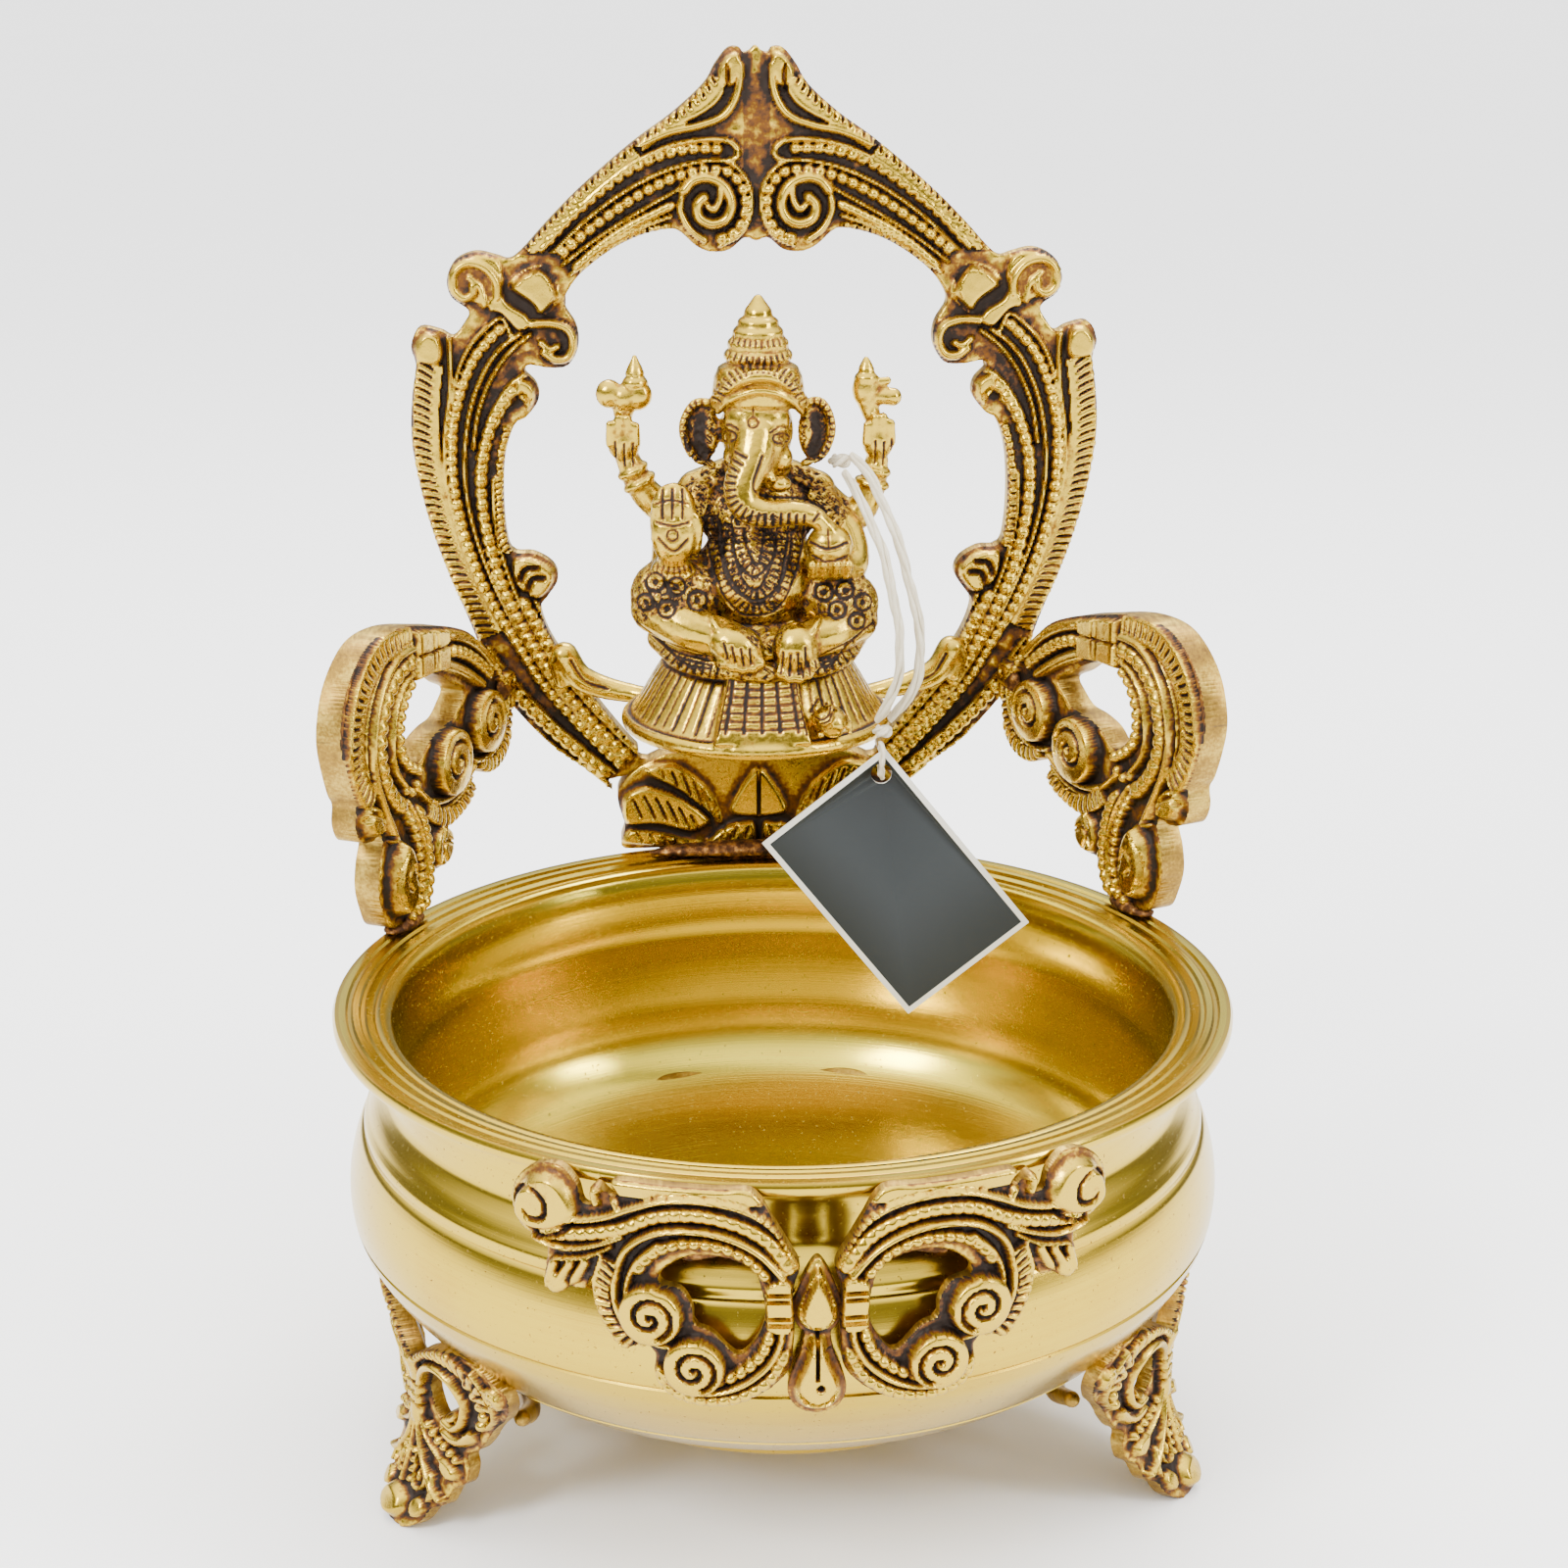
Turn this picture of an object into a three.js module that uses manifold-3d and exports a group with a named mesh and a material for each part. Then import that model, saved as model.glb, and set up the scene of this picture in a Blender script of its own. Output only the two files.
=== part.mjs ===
// Brass urli bowl on three cast feet, with a cast arch, a seated figure, side scrolls and a front ornament.
// Millimetres, +Z up, floor at z = 0, bowl axis on x = y = 0, front towards -Y.
import * as THREE from "three";
import { mergeVertices } from "three/addons/utils/BufferGeometryUtils.js";
import Module from "manifold-3d";

const wasm = await Module();
wasm.setup();

const rimRadius = 100;
const rimHeight = 106.6;
const mouthRadius = 87;
const neckRadius = 89;
const bellyRadius = 98;
const bellyHeight = 60;
const baseRingRadius = 58.5;
const baseRingLow = 22;
const bowlBottom = 27.3;
const wall = 3.2;
const jointGap = 0.3;
const footRidgeRadius = 90;
const footTurn = 65;
const archBack = 102.6;
const archFront = 96.6;
const archTop = 306.5;
const pedestalY = 70;
const pedestalX = -1.8;
const pedestalLow = 147.5;
const pedestalRadius = 33;
const tagWidth = 37;
const tagLength = 57;
const tagThick = 0.6;
const raffiaWidth = 2.4;
const tagTurn = -38.5;
const tagHole = [26.2, 43.6, 142.4];
const raffiaFront = [
  [18.2, 57.4, 211.8], [20.6, 51.6, 208], [24.4, 46.2, 200], [27.4, 42.4, 190], [29.6, 39.8, 178], [29.4, 39.6, 167],
  [27, 41, 159.6], [25, 43.2, 155.6],
];
const raffiaBack = [
  [19.8, 58.6, 215.6], [24, 52.8, 211], [29.2, 47.6, 199], [32.8, 44, 186], [34.8, 42.6, 175], [34.2, 42.2, 166],
  [31.2, 42.8, 159.8], [28, 43.7, 155.6],
];
const shoulderKnot = [17.4, 61.4, 213.8];
const tagKnot = [26.4, 43.6, 152.8];

const brass = { color: 0xc9a13b, roughness: 0.35, metalness: 1 };
const brassCast = { color: 0xb98f33, roughness: 0.45, metalness: 1 };
const brazeTone = { color: 0x6a4a1c, roughness: 0.7, metalness: 0.8 };
const cardTone = { color: 0x44484a, roughness: 0.9, metalness: 0 };
const raffiaTone = { color: 0xe6dfcb, roughness: 0.95, metalness: 0 };

const group = new THREE.Group();

// ---- making and joining solids

function toSolid(geometry) {
  let g = geometry.index ? geometry.toNonIndexed() : geometry;
  const bare = new THREE.BufferGeometry();
  bare.setAttribute("position", g.getAttribute("position"));
  g = mergeVertices(bare, 1e-4);
  const vertProperties = new Float32Array(g.getAttribute("position").array);
  const keep = [];
  const index = g.index.array;
  for (let i = 0; i < index.length; i += 3) {
    const [a, b, c] = [index[i], index[i + 1], index[i + 2]];
    if (a !== b && b !== c && a !== c) keep.push(a, b, c);
  }
  const mesh = new wasm.Mesh({ numProp: 3, vertProperties, triVerts: new Uint32Array(keep) });
  return new wasm.Manifold(mesh);
}

function join(solids) {
  return solids.reduce((sum, next) => sum.add(next));
}

function put(name, solid, tone, easing = 0.08) {
  const eased = solid.simplify(easing).decompose().filter((piece) => piece.volume() > 0);
  const m = join(eased).getMesh();
  const g = new THREE.BufferGeometry();
  g.setAttribute("position", new THREE.BufferAttribute(new Float32Array(m.vertProperties), 3));
  g.setIndex(new THREE.BufferAttribute(new Uint32Array(m.triVerts), 1));
  const flat = g.toNonIndexed();
  flat.computeVertexNormals();
  const mesh = new THREE.Mesh(flat, new THREE.MeshStandardMaterial(tone));
  mesh.name = name;
  group.add(mesh);
}

function ball(rx, ry, rz, x, y, z, round = 12) {
  const g = new THREE.SphereGeometry(1, round, Math.max(6, Math.round(round * 0.7)));
  g.scale(rx, ry, rz);
  g.translate(x, y, z);
  return toSolid(g);
}

function block(sx, sy, sz, x, y, z) {
  const g = new THREE.BoxGeometry(sx, sy, sz);
  g.translate(x, y, z);
  return toSolid(g);
}

function disc(radius, high, x, y, z, along = "z", round = 20, top = radius) {
  const g = new THREE.CylinderGeometry(top, radius, high, round);
  if (along === "z") g.rotateX(Math.PI / 2);
  if (along === "x") g.rotateZ(Math.PI / 2);
  g.translate(x, y, z);
  return toSolid(g);
}

function turned(profile, round, x = 0, y = 0) {
  const g = new THREE.LatheGeometry(profile.map(([r, z]) => new THREE.Vector2(r, z)), round);
  g.rotateX(Math.PI / 2);
  g.translate(x, y, 0);
  return toSolid(g);
}

function tube(points, radius, steps = 10, sides = 8) {
  const path = new THREE.CatmullRomCurve3(points.map(([x, y, z]) => new THREE.Vector3(x, y, z)));
  const ring = new THREE.Shape();
  ring.absarc(0, 0, radius, 0, Math.PI * 2, false);
  const options = { steps, curveSegments: sides, bevelEnabled: false, extrudePath: path };
  return toSolid(new THREE.ExtrudeGeometry(ring, options));
}

function smooth(points, count, closed = true) {
  const path = new THREE.CatmullRomCurve3(points.map(([x, z]) => new THREE.Vector3(x, z, 0)), closed);
  return path.getPoints(count).map((p) => new THREE.Vector2(p.x, p.y));
}

// Flat plate in x and z, from y = back - thick to y = back.
function plate(outline, thick, back = 0, holes = []) {
  const shape = new THREE.Shape(outline);
  holes.forEach((hole) => shape.holes.push(new THREE.Path(hole)));
  const g = new THREE.ExtrudeGeometry(shape, { depth: thick, bevelEnabled: false, steps: 1 });
  g.rotateX(Math.PI / 2);
  g.translate(0, back, 0);
  return toSolid(g);
}

function mirrored(outline) {
  const other = outline.map(([x, z]) => [-x, z]).reverse();
  return outline.concat(other.filter(([x]) => Math.abs(x) > 1e-6));
}

// ---- the turned bowl and its ring

const bowlOutside = [
  [58, bowlBottom], [71, 30.6], [83, 37.8], [92, 47.4], [bellyRadius, bellyHeight],
  [96.6, 71.5], [93.2, 82], [neckRadius, 88.5], [neckRadius, 97], [92, 102],
  [rimRadius, 104.2], [rimRadius, rimHeight - 0.6],
];

function bowlShell() {
  const inside = [
    [98.8, rimHeight], [91.5, 105.5], [mouthRadius, 104],
    [85.6, 98], [85.6, 90], [90.2, 80.6], [bellyRadius - wall, 61], [88.8, 49.4],
    [79.6, 40.4], [68, 33.8], [56, 30.4], [0, 30.4],
  ];
  return turned([[0, bowlBottom], ...bowlOutside, ...inside], 48);
}

// the bowl's outside, a little larger and filled in: what stands against it is cut back by this
function bowlRoom(gap) {
  const side = bowlOutside.map(([r, z]) => [r + gap, z < bellyHeight - 5 ? z - gap : z]);
  side[side.length - 1][1] = rimHeight + gap;
  return turned([[0, bowlBottom - gap], ...side, [0, rimHeight + gap]], 48);
}

function baseRing() {
  const low = baseRingLow;
  const top = bowlBottom - jointGap;
  const r = baseRingRadius;
  return turned([[r - 6, top], [r - 6, low + 0.4], [r - 5.5, low], [r - 0.6, low], [r, low + 0.8],
    [r, top - 0.8], [r - 0.6, top], [r - 6, top]], 40);
}

// ---- feet: two wings that meet on an upright ridge

const footOutline = [
  [0, 0.4], [6, 0], [12, 3], [14.5, 9], [18, 12.5], [18.6, 18], [20.5, 23], [25.6, 27.5], [28.4, 33],
  [29.4, 38.5], [25, 41], [20, 41.6], [14, 42], [7, 41], [0, 37],
];
const footHole = [[7.5, 32.8], [9, 27.8], [13, 25.8], [17, 28.6], [17.4, 33.4], [13.6, 36.6], [9.4, 36]];

function footSolid() {
  const fold = 15 * Math.PI / 180;
  const wing = (side) => {
    const edge = smooth(footOutline.map(([u, z]) => [u, z]), 34).map((p) => new THREE.Vector2(p.x, Math.max(p.y, 0)));
    const hole = smooth(footHole, 14);
    const solid = plate(edge, 4.6, 2, [hole]).rotate([0, 0, fold * 180 / Math.PI]);
    return side > 0 ? solid : solid.mirror([1, 0, 0]);
  };
  const ridge = tube([[0, 0.3, 1.5], [0, 0.3, 20], [0, 0.3, 37]], 2.6, 6, 8);
  const toe = ball(11.5, 6.5, 7, 0, -3.4, 5, 10);
  const shelf = plate(smooth([[-15, 3.5], [-10, 0.4], [0, 0], [10, 0.4], [15, 3.5], [9, 7], [0, 8], [-9, 7]], 20), 6, 1);
  const under = block(60, 40, 20, 0, 0, -10);
  return join([wing(1), wing(-1), ridge, toe, shelf]).subtract(under);
}

function placeFoot(solid, degrees) {
  // degrees measured from the front, positive towards +X
  return solid.translate([0, -footRidgeRadius, 0]).rotate([0, 0, degrees]);
}

function footStrut(degrees) {
  const strut = tube([[-22, -74, 31], [-12, -68, 24.6], [0, -65, 24], [12, -68, 24.6], [22, -74, 31]], 2.6, 8, 6);
  return strut.rotate([0, 0, degrees]);
}

// ---- front ornament

const wingOutline = [
  [2.2, 99.5], [8, 100.6], [22, 100.6], [36, 100.8], [44, 101.6], [50, 104], [55, 103], [57.5, 97.5],
  [55, 90.5], [50, 84], [45, 79.5], [40, 74.5], [33, 68], [24, 62.6], [14.5, 62.4], [7.5, 66.5], [6, 76], [5.6, 88],
];
const wingHole = [[16, 90.8], [12.6, 82.6], [15, 75.4], [20.6, 76.4], [25.6, 82.4], [27.4, 89.6], [22, 93.6]];

function frontWing(side) {
  const body = plate(smooth(wingOutline, 40), 4, 0, [smooth(wingHole, 14)]);
  const bossOuter = disc(5.4, 3, 33, -4, 81, "y", 14, 4.2);
  const bossInner = disc(5, 3, 23.6, -4, 70, "y", 14, 4);
  const rib = tube([[9, -3.2, 84], [14, -3.4, 96], [28, -3.4, 97], [40, -3.4, 88]], 1.6, 10, 8);
  const solid = join([body, bossOuter, bossInner, rib]).rotate([0, 0, 15]);
  const placed = solid.translate([0.3, -103.2, 0]);
  return side > 0 ? placed : placed.mirror([1, 0, 0]);
}

function frontDrop() {
  const drop = smooth([[0, 93.5], [3, 90], [5.4, 84], [5, 78], [2.6, 74.4], [4.6, 69.5], [4.6, 64], [2.4, 60], [0, 58.6],
    [-2.4, 60], [-4.6, 64], [-4.6, 69.5], [-2.6, 74.4], [-5, 78], [-5.4, 84], [-3, 90]], 36);
  const body = plate(drop, 4.4, 0);
  const bulge = ball(4, 2.2, 7, 0, -3.6, 84, 12);
  const bead = ball(3.4, 1.8, 4.6, 0, -3.8, 65.4, 10);
  return join([body, bulge, bead]).translate([0, -101.2, 0]);
}

// ---- side scrolls: upright plates from the rim back to the arch

const scrollOutline = [
  [-12.5, 107], [-4, 107], [2.6, 109.4], [5.4, 115], [6, 121], [7.4, 126.8], [10.6, 132], [13.4, 135], [16.2, 134],
  [20.8, 136.6], [21.4, 144], [22.4, 153], [20.8, 164], [15, 173.6], [5, 179], [-9, 178.6], [-24, 176],
  [-38, 171.6], [-50, 164.6], [-58, 157], [-62, 150], [-63, 143], [-60, 136], [-52, 132], [-44, 133.4],
  [-40, 129.4], [-33, 124.4], [-27, 122], [-25, 118.4], [-19, 116.6], [-16.6, 111],
];
const scrollHole = [[-32, 157.6], [-22, 163.6], [-11, 164.8], [-6, 160.6], [-6, 154], [-5, 149.6], [-9.4, 147.6],
  [-16, 150.6], [-23, 151.4]];

function sideScroll(side) {
  const body = plate(smooth(scrollOutline, 60), 6, 3, [smooth(scrollHole, 16)]);
  const bossHigh = disc(8, 4.4, -46.6, -4.4, 145.6, "y", 16, 6);
  const bossLow = disc(8, 4.4, -26.6, -4.4, 141.6, "y", 16, 6);
  const oval = ball(6, 4, 9.4, -1.6, -1.6, 119.6, 12);
  const solid = join([body, bossHigh, bossLow, oval]).rotate([0, 0, -66]);
  const placed = solid.translate([91, 40.5, 0]);
  return side > 0 ? placed : placed.mirror([1, 0, 0]);
}

// ---- arch, its leaf foot and the brackets for the figure

const archOuter = [
  [35.6, 131.8], [42, 137.5], [52, 144], [59.6, 150], [64.6, 156], [70, 165], [76, 179], [81, 198], [83.6, 216],
  [84.6, 230], [83.6, 238], [80, 243], [77, 248], [76, 255], [70, 260], [63, 262], [55, 267.5], [42, 275.5],
  [29, 284.6], [18, 294], [10, 302], [4.5, 305.8], [0, archTop],
];
const archInner = [
  [0, 257.6], [6, 259.4], [14, 260.4], [24, 255], [34, 247.6], [43, 240], [46.6, 231.4], [52, 225], [58, 216],
  [60.6, 204], [60, 192], [56, 180], [50, 168.6], [43.5, 156], [36, 146], [26, 139.6], [12, 137], [0, 136.6],
];

function archFrame() {
  const outer = mirrored(archOuter).map(([x, z]) => new THREE.Vector2(x, z));
  const hole = mirrored(archInner).map(([x, z]) => new THREE.Vector2(x, z));
  const body = plate(outer, archBack - archFront, archBack, [hole]);
  const extras = [body];
  [-1, 1].forEach((s) => {
    extras.push(tube([[s * 8, 95.6, 262], [s * 26, 95.6, 264], [s * 44, 95.6, 256], [s * 58, 95.6, 248]], 3, 6, 6));
    extras.push(tube([[s * 66, 95.6, 246], [s * 74, 95.6, 222], [s * 71, 95.6, 194], [s * 60, 95.6, 168],
      [s * 42, 95.6, 146]], 3.4, 10, 6));
    extras.push(ball(5.5, 4, 10, s * 56, 95.8, 248, 12));
    extras.push(ball(6, 4, 6, s * 70, 96, 252, 12));
    extras.push(disc(6.4, 5, s * 54.6, 97, 175.6, "y", 14));
  });
  extras.push(ball(3.4, 3, 12, 0, 96, 284, 10));
  return join(extras);
}

function archFoot() {
  const edge = smooth([[-34.5, rimHeight + 0.4], [-18, 107], [0, 107], [18, 107], [34.5, rimHeight + 0.4],
    [36, 115], [35.4, 124], [34.8, 131], [28, 136], [14, 135.6], [0, 135.4], [-14, 135.6], [-28, 136],
    [-34.8, 131], [-35.4, 124], [-36, 115]], 40);
  const floor = block(120, 60, 40, 0, 96, rimHeight + jointGap - 20);
  const body = plate(edge, 10, 103.2);
  const leaves = [];
  [-24, -12, 0, 12, 24].forEach((x) => leaves.push(ball(6.5, 3.4, 12, x, 94, 120, 10)));
  return join([body, ...leaves]).subtract(floor).subtract(archKeep());
}

// room for the arch above its foot
function archKeep() {
  const outer = mirrored(archOuter.map(([x, z]) => [x, z])).map(([x, z]) => new THREE.Vector2(x, z - jointGap));
  return plate(outer, 14, 107, []).subtract(block(76, 40, 40, 0, 100, 115.6));
}

function bracket(side) {
  const web = smooth([[18, 147.8], [30, 147.2], [40, 147.4], [47.5, 150.6], [50.6, 157], [48, 161.4], [43, 158],
    [37, 153.4], [29, 151.4], [18, 151.2]], 24);
  const solid = plate(web, 5, 95.6);
  return side > 0 ? solid : solid.mirror([1, 0, 0]);
}

// ---- figure and pedestal

function pedestal() {
  const r = pedestalRadius;
  const low = pedestalLow;
  const body = turned([[0, low], [r - 1.4, low], [r, low + 1.4], [r, low + 2.8], [r - 1.2, low + 4], [r - 2.6, low + 4.4],
    [r - 4.2, low + 7], [r - 7.4, low + 13], [r - 9.4, low + 17], [r - 10.4, low + 19], [0, low + 19]], 36, pedestalX, pedestalY);
  const cloth = plate([[-13.2, 151], [9.2, 151], [7.4, 160], [5.4, 169], [-9.4, 169], [-11.2, 160]], 10, 50);
  return join([body, cloth]);
}

function mouse() {
  const body = ball(4, 5.4, 4.4, 14, 43.4, 156.2, 12);
  const head = ball(2.6, 3, 2.6, 12, 39.6, 158.6, 10);
  return join([body, head]);
}

function seatedFigure() {
  const y = pedestalY;
  const parts = [
    ball(24, 21, 10, -2, y - 4, 172, 16),
    ball(15, 15, 15, -2, y - 6, 187, 14),
    ball(15.6, 11, 12, -2, y - 3, 203, 12),
    ball(8.6, 10, 9.6, -2.2, y - 9, 221.6, 12),
    ball(4.6, 3, 7.4, -15, y - 10, 221.4, 10),
    ball(4.2, 3, 7.4, 11.4, y - 10, 221.4, 10),
    disc(11, 6, -1.8, y - 11, 232, "z", 18, 9),
    disc(8.4, 9.8, -1.8, y - 11, 239.4, "z", 16, 4.4),
    disc(4.6, 9.6, -1.8, y - 11, 248.4, "z", 12, 0.8),
    tube([[-3.4, y - 17, 221], [-6.6, y - 23, 212], [-4, y - 25, 205.6], [4, y - 25, 205], [10.5, y - 24.6, 203.6]], 3.6, 12, 8),
    ball(5.6, 5, 5.4, 13.9, y - 24, 196.6, 12),
    ball(5.8, 3.6, 9.6, -22, y - 23, 202.2, 12),
    ball(9.6, 12, 8.4, -23.4, y - 15, 184.6, 12),
    ball(8.4, 12, 8.6, 17.6, y - 15, 181, 12),
    ball(6.2, 6, 5.6, -7.6, y - 26.4, 174, 10),
    ball(5, 6, 6.4, 5.8, y - 26.4, 173, 10),
  ];
  parts.push(tube([[-14, y - 4, 208], [-24, y - 8, 202], [-30, y - 8, 207], [-32.8, y - 8, 215]], 3.8, 8, 6));
  parts.push(ball(4.4, 3.6, 7, -33, y - 8, 219, 10));
  parts.push(ball(6.4, 3.6, 4.4, -33, y - 8, 229.6, 10));
  parts.push(disc(3, 8, -30.4, y - 8, 235, "z", 10, 0.8));
  parts.push(tube([[12, y - 4, 207], [21, y - 8, 201.4], [25, y - 8, 207], [26, y - 8, 214]], 3.8, 8, 6));
  parts.push(ball(4.2, 3.6, 7, 26, y - 8, 218.6, 10));
  parts.push(ball(5.4, 3.6, 4.6, 25.4, y - 8, 229.4, 10));
  parts.push(disc(3, 8, 23.4, y - 8, 235, "z", 10, 0.8));
  parts.push(tube([[-16, y - 8, 202], [-23, y - 14, 190], [-22.4, y - 21, 193]], 4.2, 8, 6));
  parts.push(tube([[13, y - 8, 203], [19.4, y - 14, 192], [14.6, y - 21, 191.4]], 4.2, 8, 6));
  return join(parts).subtract(block(80, 80, 20, 0, y, 156.6));
}

// ---- joint metal, card and raffia

function pad(x, y, z, rx, ry, rz, degrees, keepOut) {
  const lump = ball(rx, ry, rz, 0, 0, 0, 10).rotate([0, 0, degrees]).translate([x, y, z]);
  const left = keepOut.reduce((rest, solid) => rest.subtract(solid), lump);
  return left.decompose().sort((a, b) => b.volume() - a.volume())[0];
}

function grown(solid, by) {
  const steps = [-by, by];
  const shifts = steps.flatMap((x) => steps.flatMap((y) => steps.map((z) => [x, y, z])));
  return join(shifts.map((d) => solid.translate(d)));
}

function around(radius, degrees) {
  const a = degrees * Math.PI / 180;
  return [radius * Math.sin(a), -radius * Math.cos(a)];
}

// Blank card hung by the hole near its top corner.
function tagCard() {
  const shape = new THREE.Shape();
  const edge = 4.4;
  shape.moveTo(edge - tagWidth, edge);
  shape.lineTo(edge - tagWidth, edge - tagLength);
  shape.lineTo(edge, edge - tagLength);
  shape.lineTo(edge, edge);
  const hole = new THREE.Path();
  hole.absarc(0, 0, 2.6, 0, Math.PI * 2, true);
  shape.holes.push(hole);
  const g = new THREE.ExtrudeGeometry(shape, { depth: tagThick, bevelEnabled: false, curveSegments: 10 });
  g.rotateX(Math.PI / 2);
  g.translate(0, tagThick / 2, 0);
  return toSolid(g).rotate([0, tagTurn, 0]).translate(tagHole);
}

// Small ring of raffia through the card's hole.
function tagLoop() {
  const g = new THREE.TorusGeometry(4.2, 0.8, 6, 14);
  g.rotateY(Math.PI / 2);
  g.scale(1, 0.6, 1);
  g.translate(tagHole[0], tagHole[1], tagHole[2] + 3.2);
  return toSolid(g);
}

// ---- everything in its place

const bowl = bowlShell();
const room = bowlRoom(jointGap);
const ring = baseRing();
put("bowl_shell", bowl, brass);
put("base_ring", ring, brass);

const ringRoom = disc(baseRingRadius + jointGap, 8, 0, 0, bowlBottom - 3.4, "z", 40);
const foot = footSolid();
Object.entries({ left: -footTurn, right: footTurn, rear: 180 }).forEach(([name, degrees]) => {
  const upright = placeFoot(foot, degrees);
  put(`foot_${name}`, upright.subtract(room), brassCast);
  const strut = footStrut(degrees).subtract(room).subtract(ringRoom).subtract(grown(upright, jointGap));
  const bar = strut.decompose().sort((a, b) => b.volume() - a.volume())[0];
  put(`foot_strut_${name}`, bar, brassCast);
});

const drop = frontDrop().subtract(room);
const dropRoom = grown(drop, jointGap);
put("front_drop", drop, brassCast);
const wings = { left: -1, right: 1 };
Object.entries(wings).forEach(([name, side]) => {
  const wing = frontWing(side).subtract(room).subtract(dropRoom);
  put(`front_wing_${name}`, wing, brassCast);
  const wingRoom = grown(wing, jointGap);
  const [x, y] = around(99.6, side * 16);
  put(`front_braze_${name}`, pad(x, y, 94.5, 13, 3.4, 5, side * 16, [room, wingRoom]), brazeTone);
});

const archBody = archFrame();
const archRoom = grown(archBody, jointGap);
put("arch_frame", archBody, brassCast, 0.4);
const footBlock = archFoot().subtract(archRoom);
put("arch_foot", footBlock, brassCast);
const blockRoom = grown(footBlock, jointGap);
put("arch_braze", pad(0, 90.6, 107.4, 30, 3.6, 3, 0, [room, blockRoom]), brazeTone);

Object.entries(wings).forEach(([name, side]) => {
  const scroll = sideScroll(side).subtract(room).subtract(archRoom);
  const whole = scroll.decompose().sort((a, b) => b.volume() - a.volume())[0];
  put(`side_scroll_${name}`, whole, brassCast);
  const scrollRoom = grown(whole, jointGap);
  put(`scroll_rim_braze_${name}`, pad(side * 87.4, 44, 107.2, 8, 4, 3, side * -66, [room, scrollRoom]), brazeTone);
  put(`scroll_arch_braze_${name}`, pad(side * 66.4, 92.6, 151, 4.6, 4.6, 5, 0, [archRoom, scrollRoom]), brazeTone);
});

const bell = pedestal();
const bellRoom = grown(bell, jointGap);
put("pedestal", bell, brassCast);
put("pedestal_mouse", mouse().subtract(bellRoom), brassCast);
const figure = seatedFigure().subtract(bellRoom).decompose().sort((a, b) => b.volume() - a.volume())[0];
put("seated_figure", figure, brassCast, 0.5);
Object.entries(wings).forEach(([name, side]) => {
  put(`figure_bracket_${name}`, bracket(side).subtract(archRoom).subtract(bellRoom), brassCast);
});

put("tag_card", tagCard(), cardTone);
put("raffia_front", tube(raffiaFront, raffiaWidth / 2, 16, 6), raffiaTone);
put("raffia_back", tube(raffiaBack, raffiaWidth / 2, 16, 6), raffiaTone);
put("raffia_loop", tagLoop(), raffiaTone);
put("raffia_knot_tag", ball(2.1, 1.9, 1.6, ...tagKnot, 10), raffiaTone);
put("raffia_knot_shoulder", pad(...shoulderKnot, 2.6, 2.6, 2.6, 0, [grown(figure, jointGap)]), raffiaTone);

export default group;
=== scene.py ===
import math
import bmesh
import bpy
import numpy as np
from mathutils import Matrix, Vector
from mathutils.bvhtree import BVHTree
from mathutils.geometry import delaunay_2d_cdt


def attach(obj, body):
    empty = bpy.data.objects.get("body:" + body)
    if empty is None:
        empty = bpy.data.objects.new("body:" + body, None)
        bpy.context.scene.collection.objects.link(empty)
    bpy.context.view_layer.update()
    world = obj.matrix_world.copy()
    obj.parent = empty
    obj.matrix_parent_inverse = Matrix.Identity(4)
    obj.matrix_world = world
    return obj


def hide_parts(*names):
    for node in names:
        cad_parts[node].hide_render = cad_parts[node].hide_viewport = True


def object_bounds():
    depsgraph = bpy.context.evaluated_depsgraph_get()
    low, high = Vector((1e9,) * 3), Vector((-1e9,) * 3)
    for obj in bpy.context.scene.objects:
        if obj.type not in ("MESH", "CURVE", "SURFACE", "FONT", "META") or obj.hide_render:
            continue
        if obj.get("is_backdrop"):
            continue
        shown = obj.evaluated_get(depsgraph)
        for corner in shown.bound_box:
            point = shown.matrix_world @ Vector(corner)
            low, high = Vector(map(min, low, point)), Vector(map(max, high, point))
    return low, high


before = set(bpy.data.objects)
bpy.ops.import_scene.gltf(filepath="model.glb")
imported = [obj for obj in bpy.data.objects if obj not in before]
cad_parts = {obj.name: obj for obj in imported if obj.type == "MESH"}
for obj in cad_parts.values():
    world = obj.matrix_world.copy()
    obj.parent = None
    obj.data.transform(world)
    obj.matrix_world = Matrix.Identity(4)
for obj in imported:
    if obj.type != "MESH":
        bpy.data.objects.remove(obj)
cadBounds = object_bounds()
mm = 0.001
dice = np.random.default_rng(7)


def stage(text):
    print("scene:", text)


# camera first, then the two raffia strands

cameraSet = {"distance": 600, "azimuth": -3.75, "elevation": 17.863, "target": (0.3, 0, 154.3),
             "lens": 62.82}


def makeCamera(c):
    az, el = math.radians(c["azimuth"]), math.radians(c["elevation"])
    back = Vector((math.sin(az) * math.cos(el), -math.cos(az) * math.cos(el), math.sin(el)))
    data = bpy.data.cameras.new("camera")
    data.lens = c["lens"]
    data.sensor_width = 36
    data.clip_start = 0.01
    data.clip_end = 200
    cam = bpy.data.objects.new("camera", data)
    cam.location = (Vector(c["target"]) + back * c["distance"]) * mm
    cam.rotation_euler = back.to_track_quat("Z", "Y").to_euler()
    bpy.context.scene.collection.objects.link(cam)
    bpy.context.scene.camera = cam
    return cam.location / mm


eyePoint = makeCamera(cameraSet)


# materials: sockets as numbers, and one way to add a node

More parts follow.
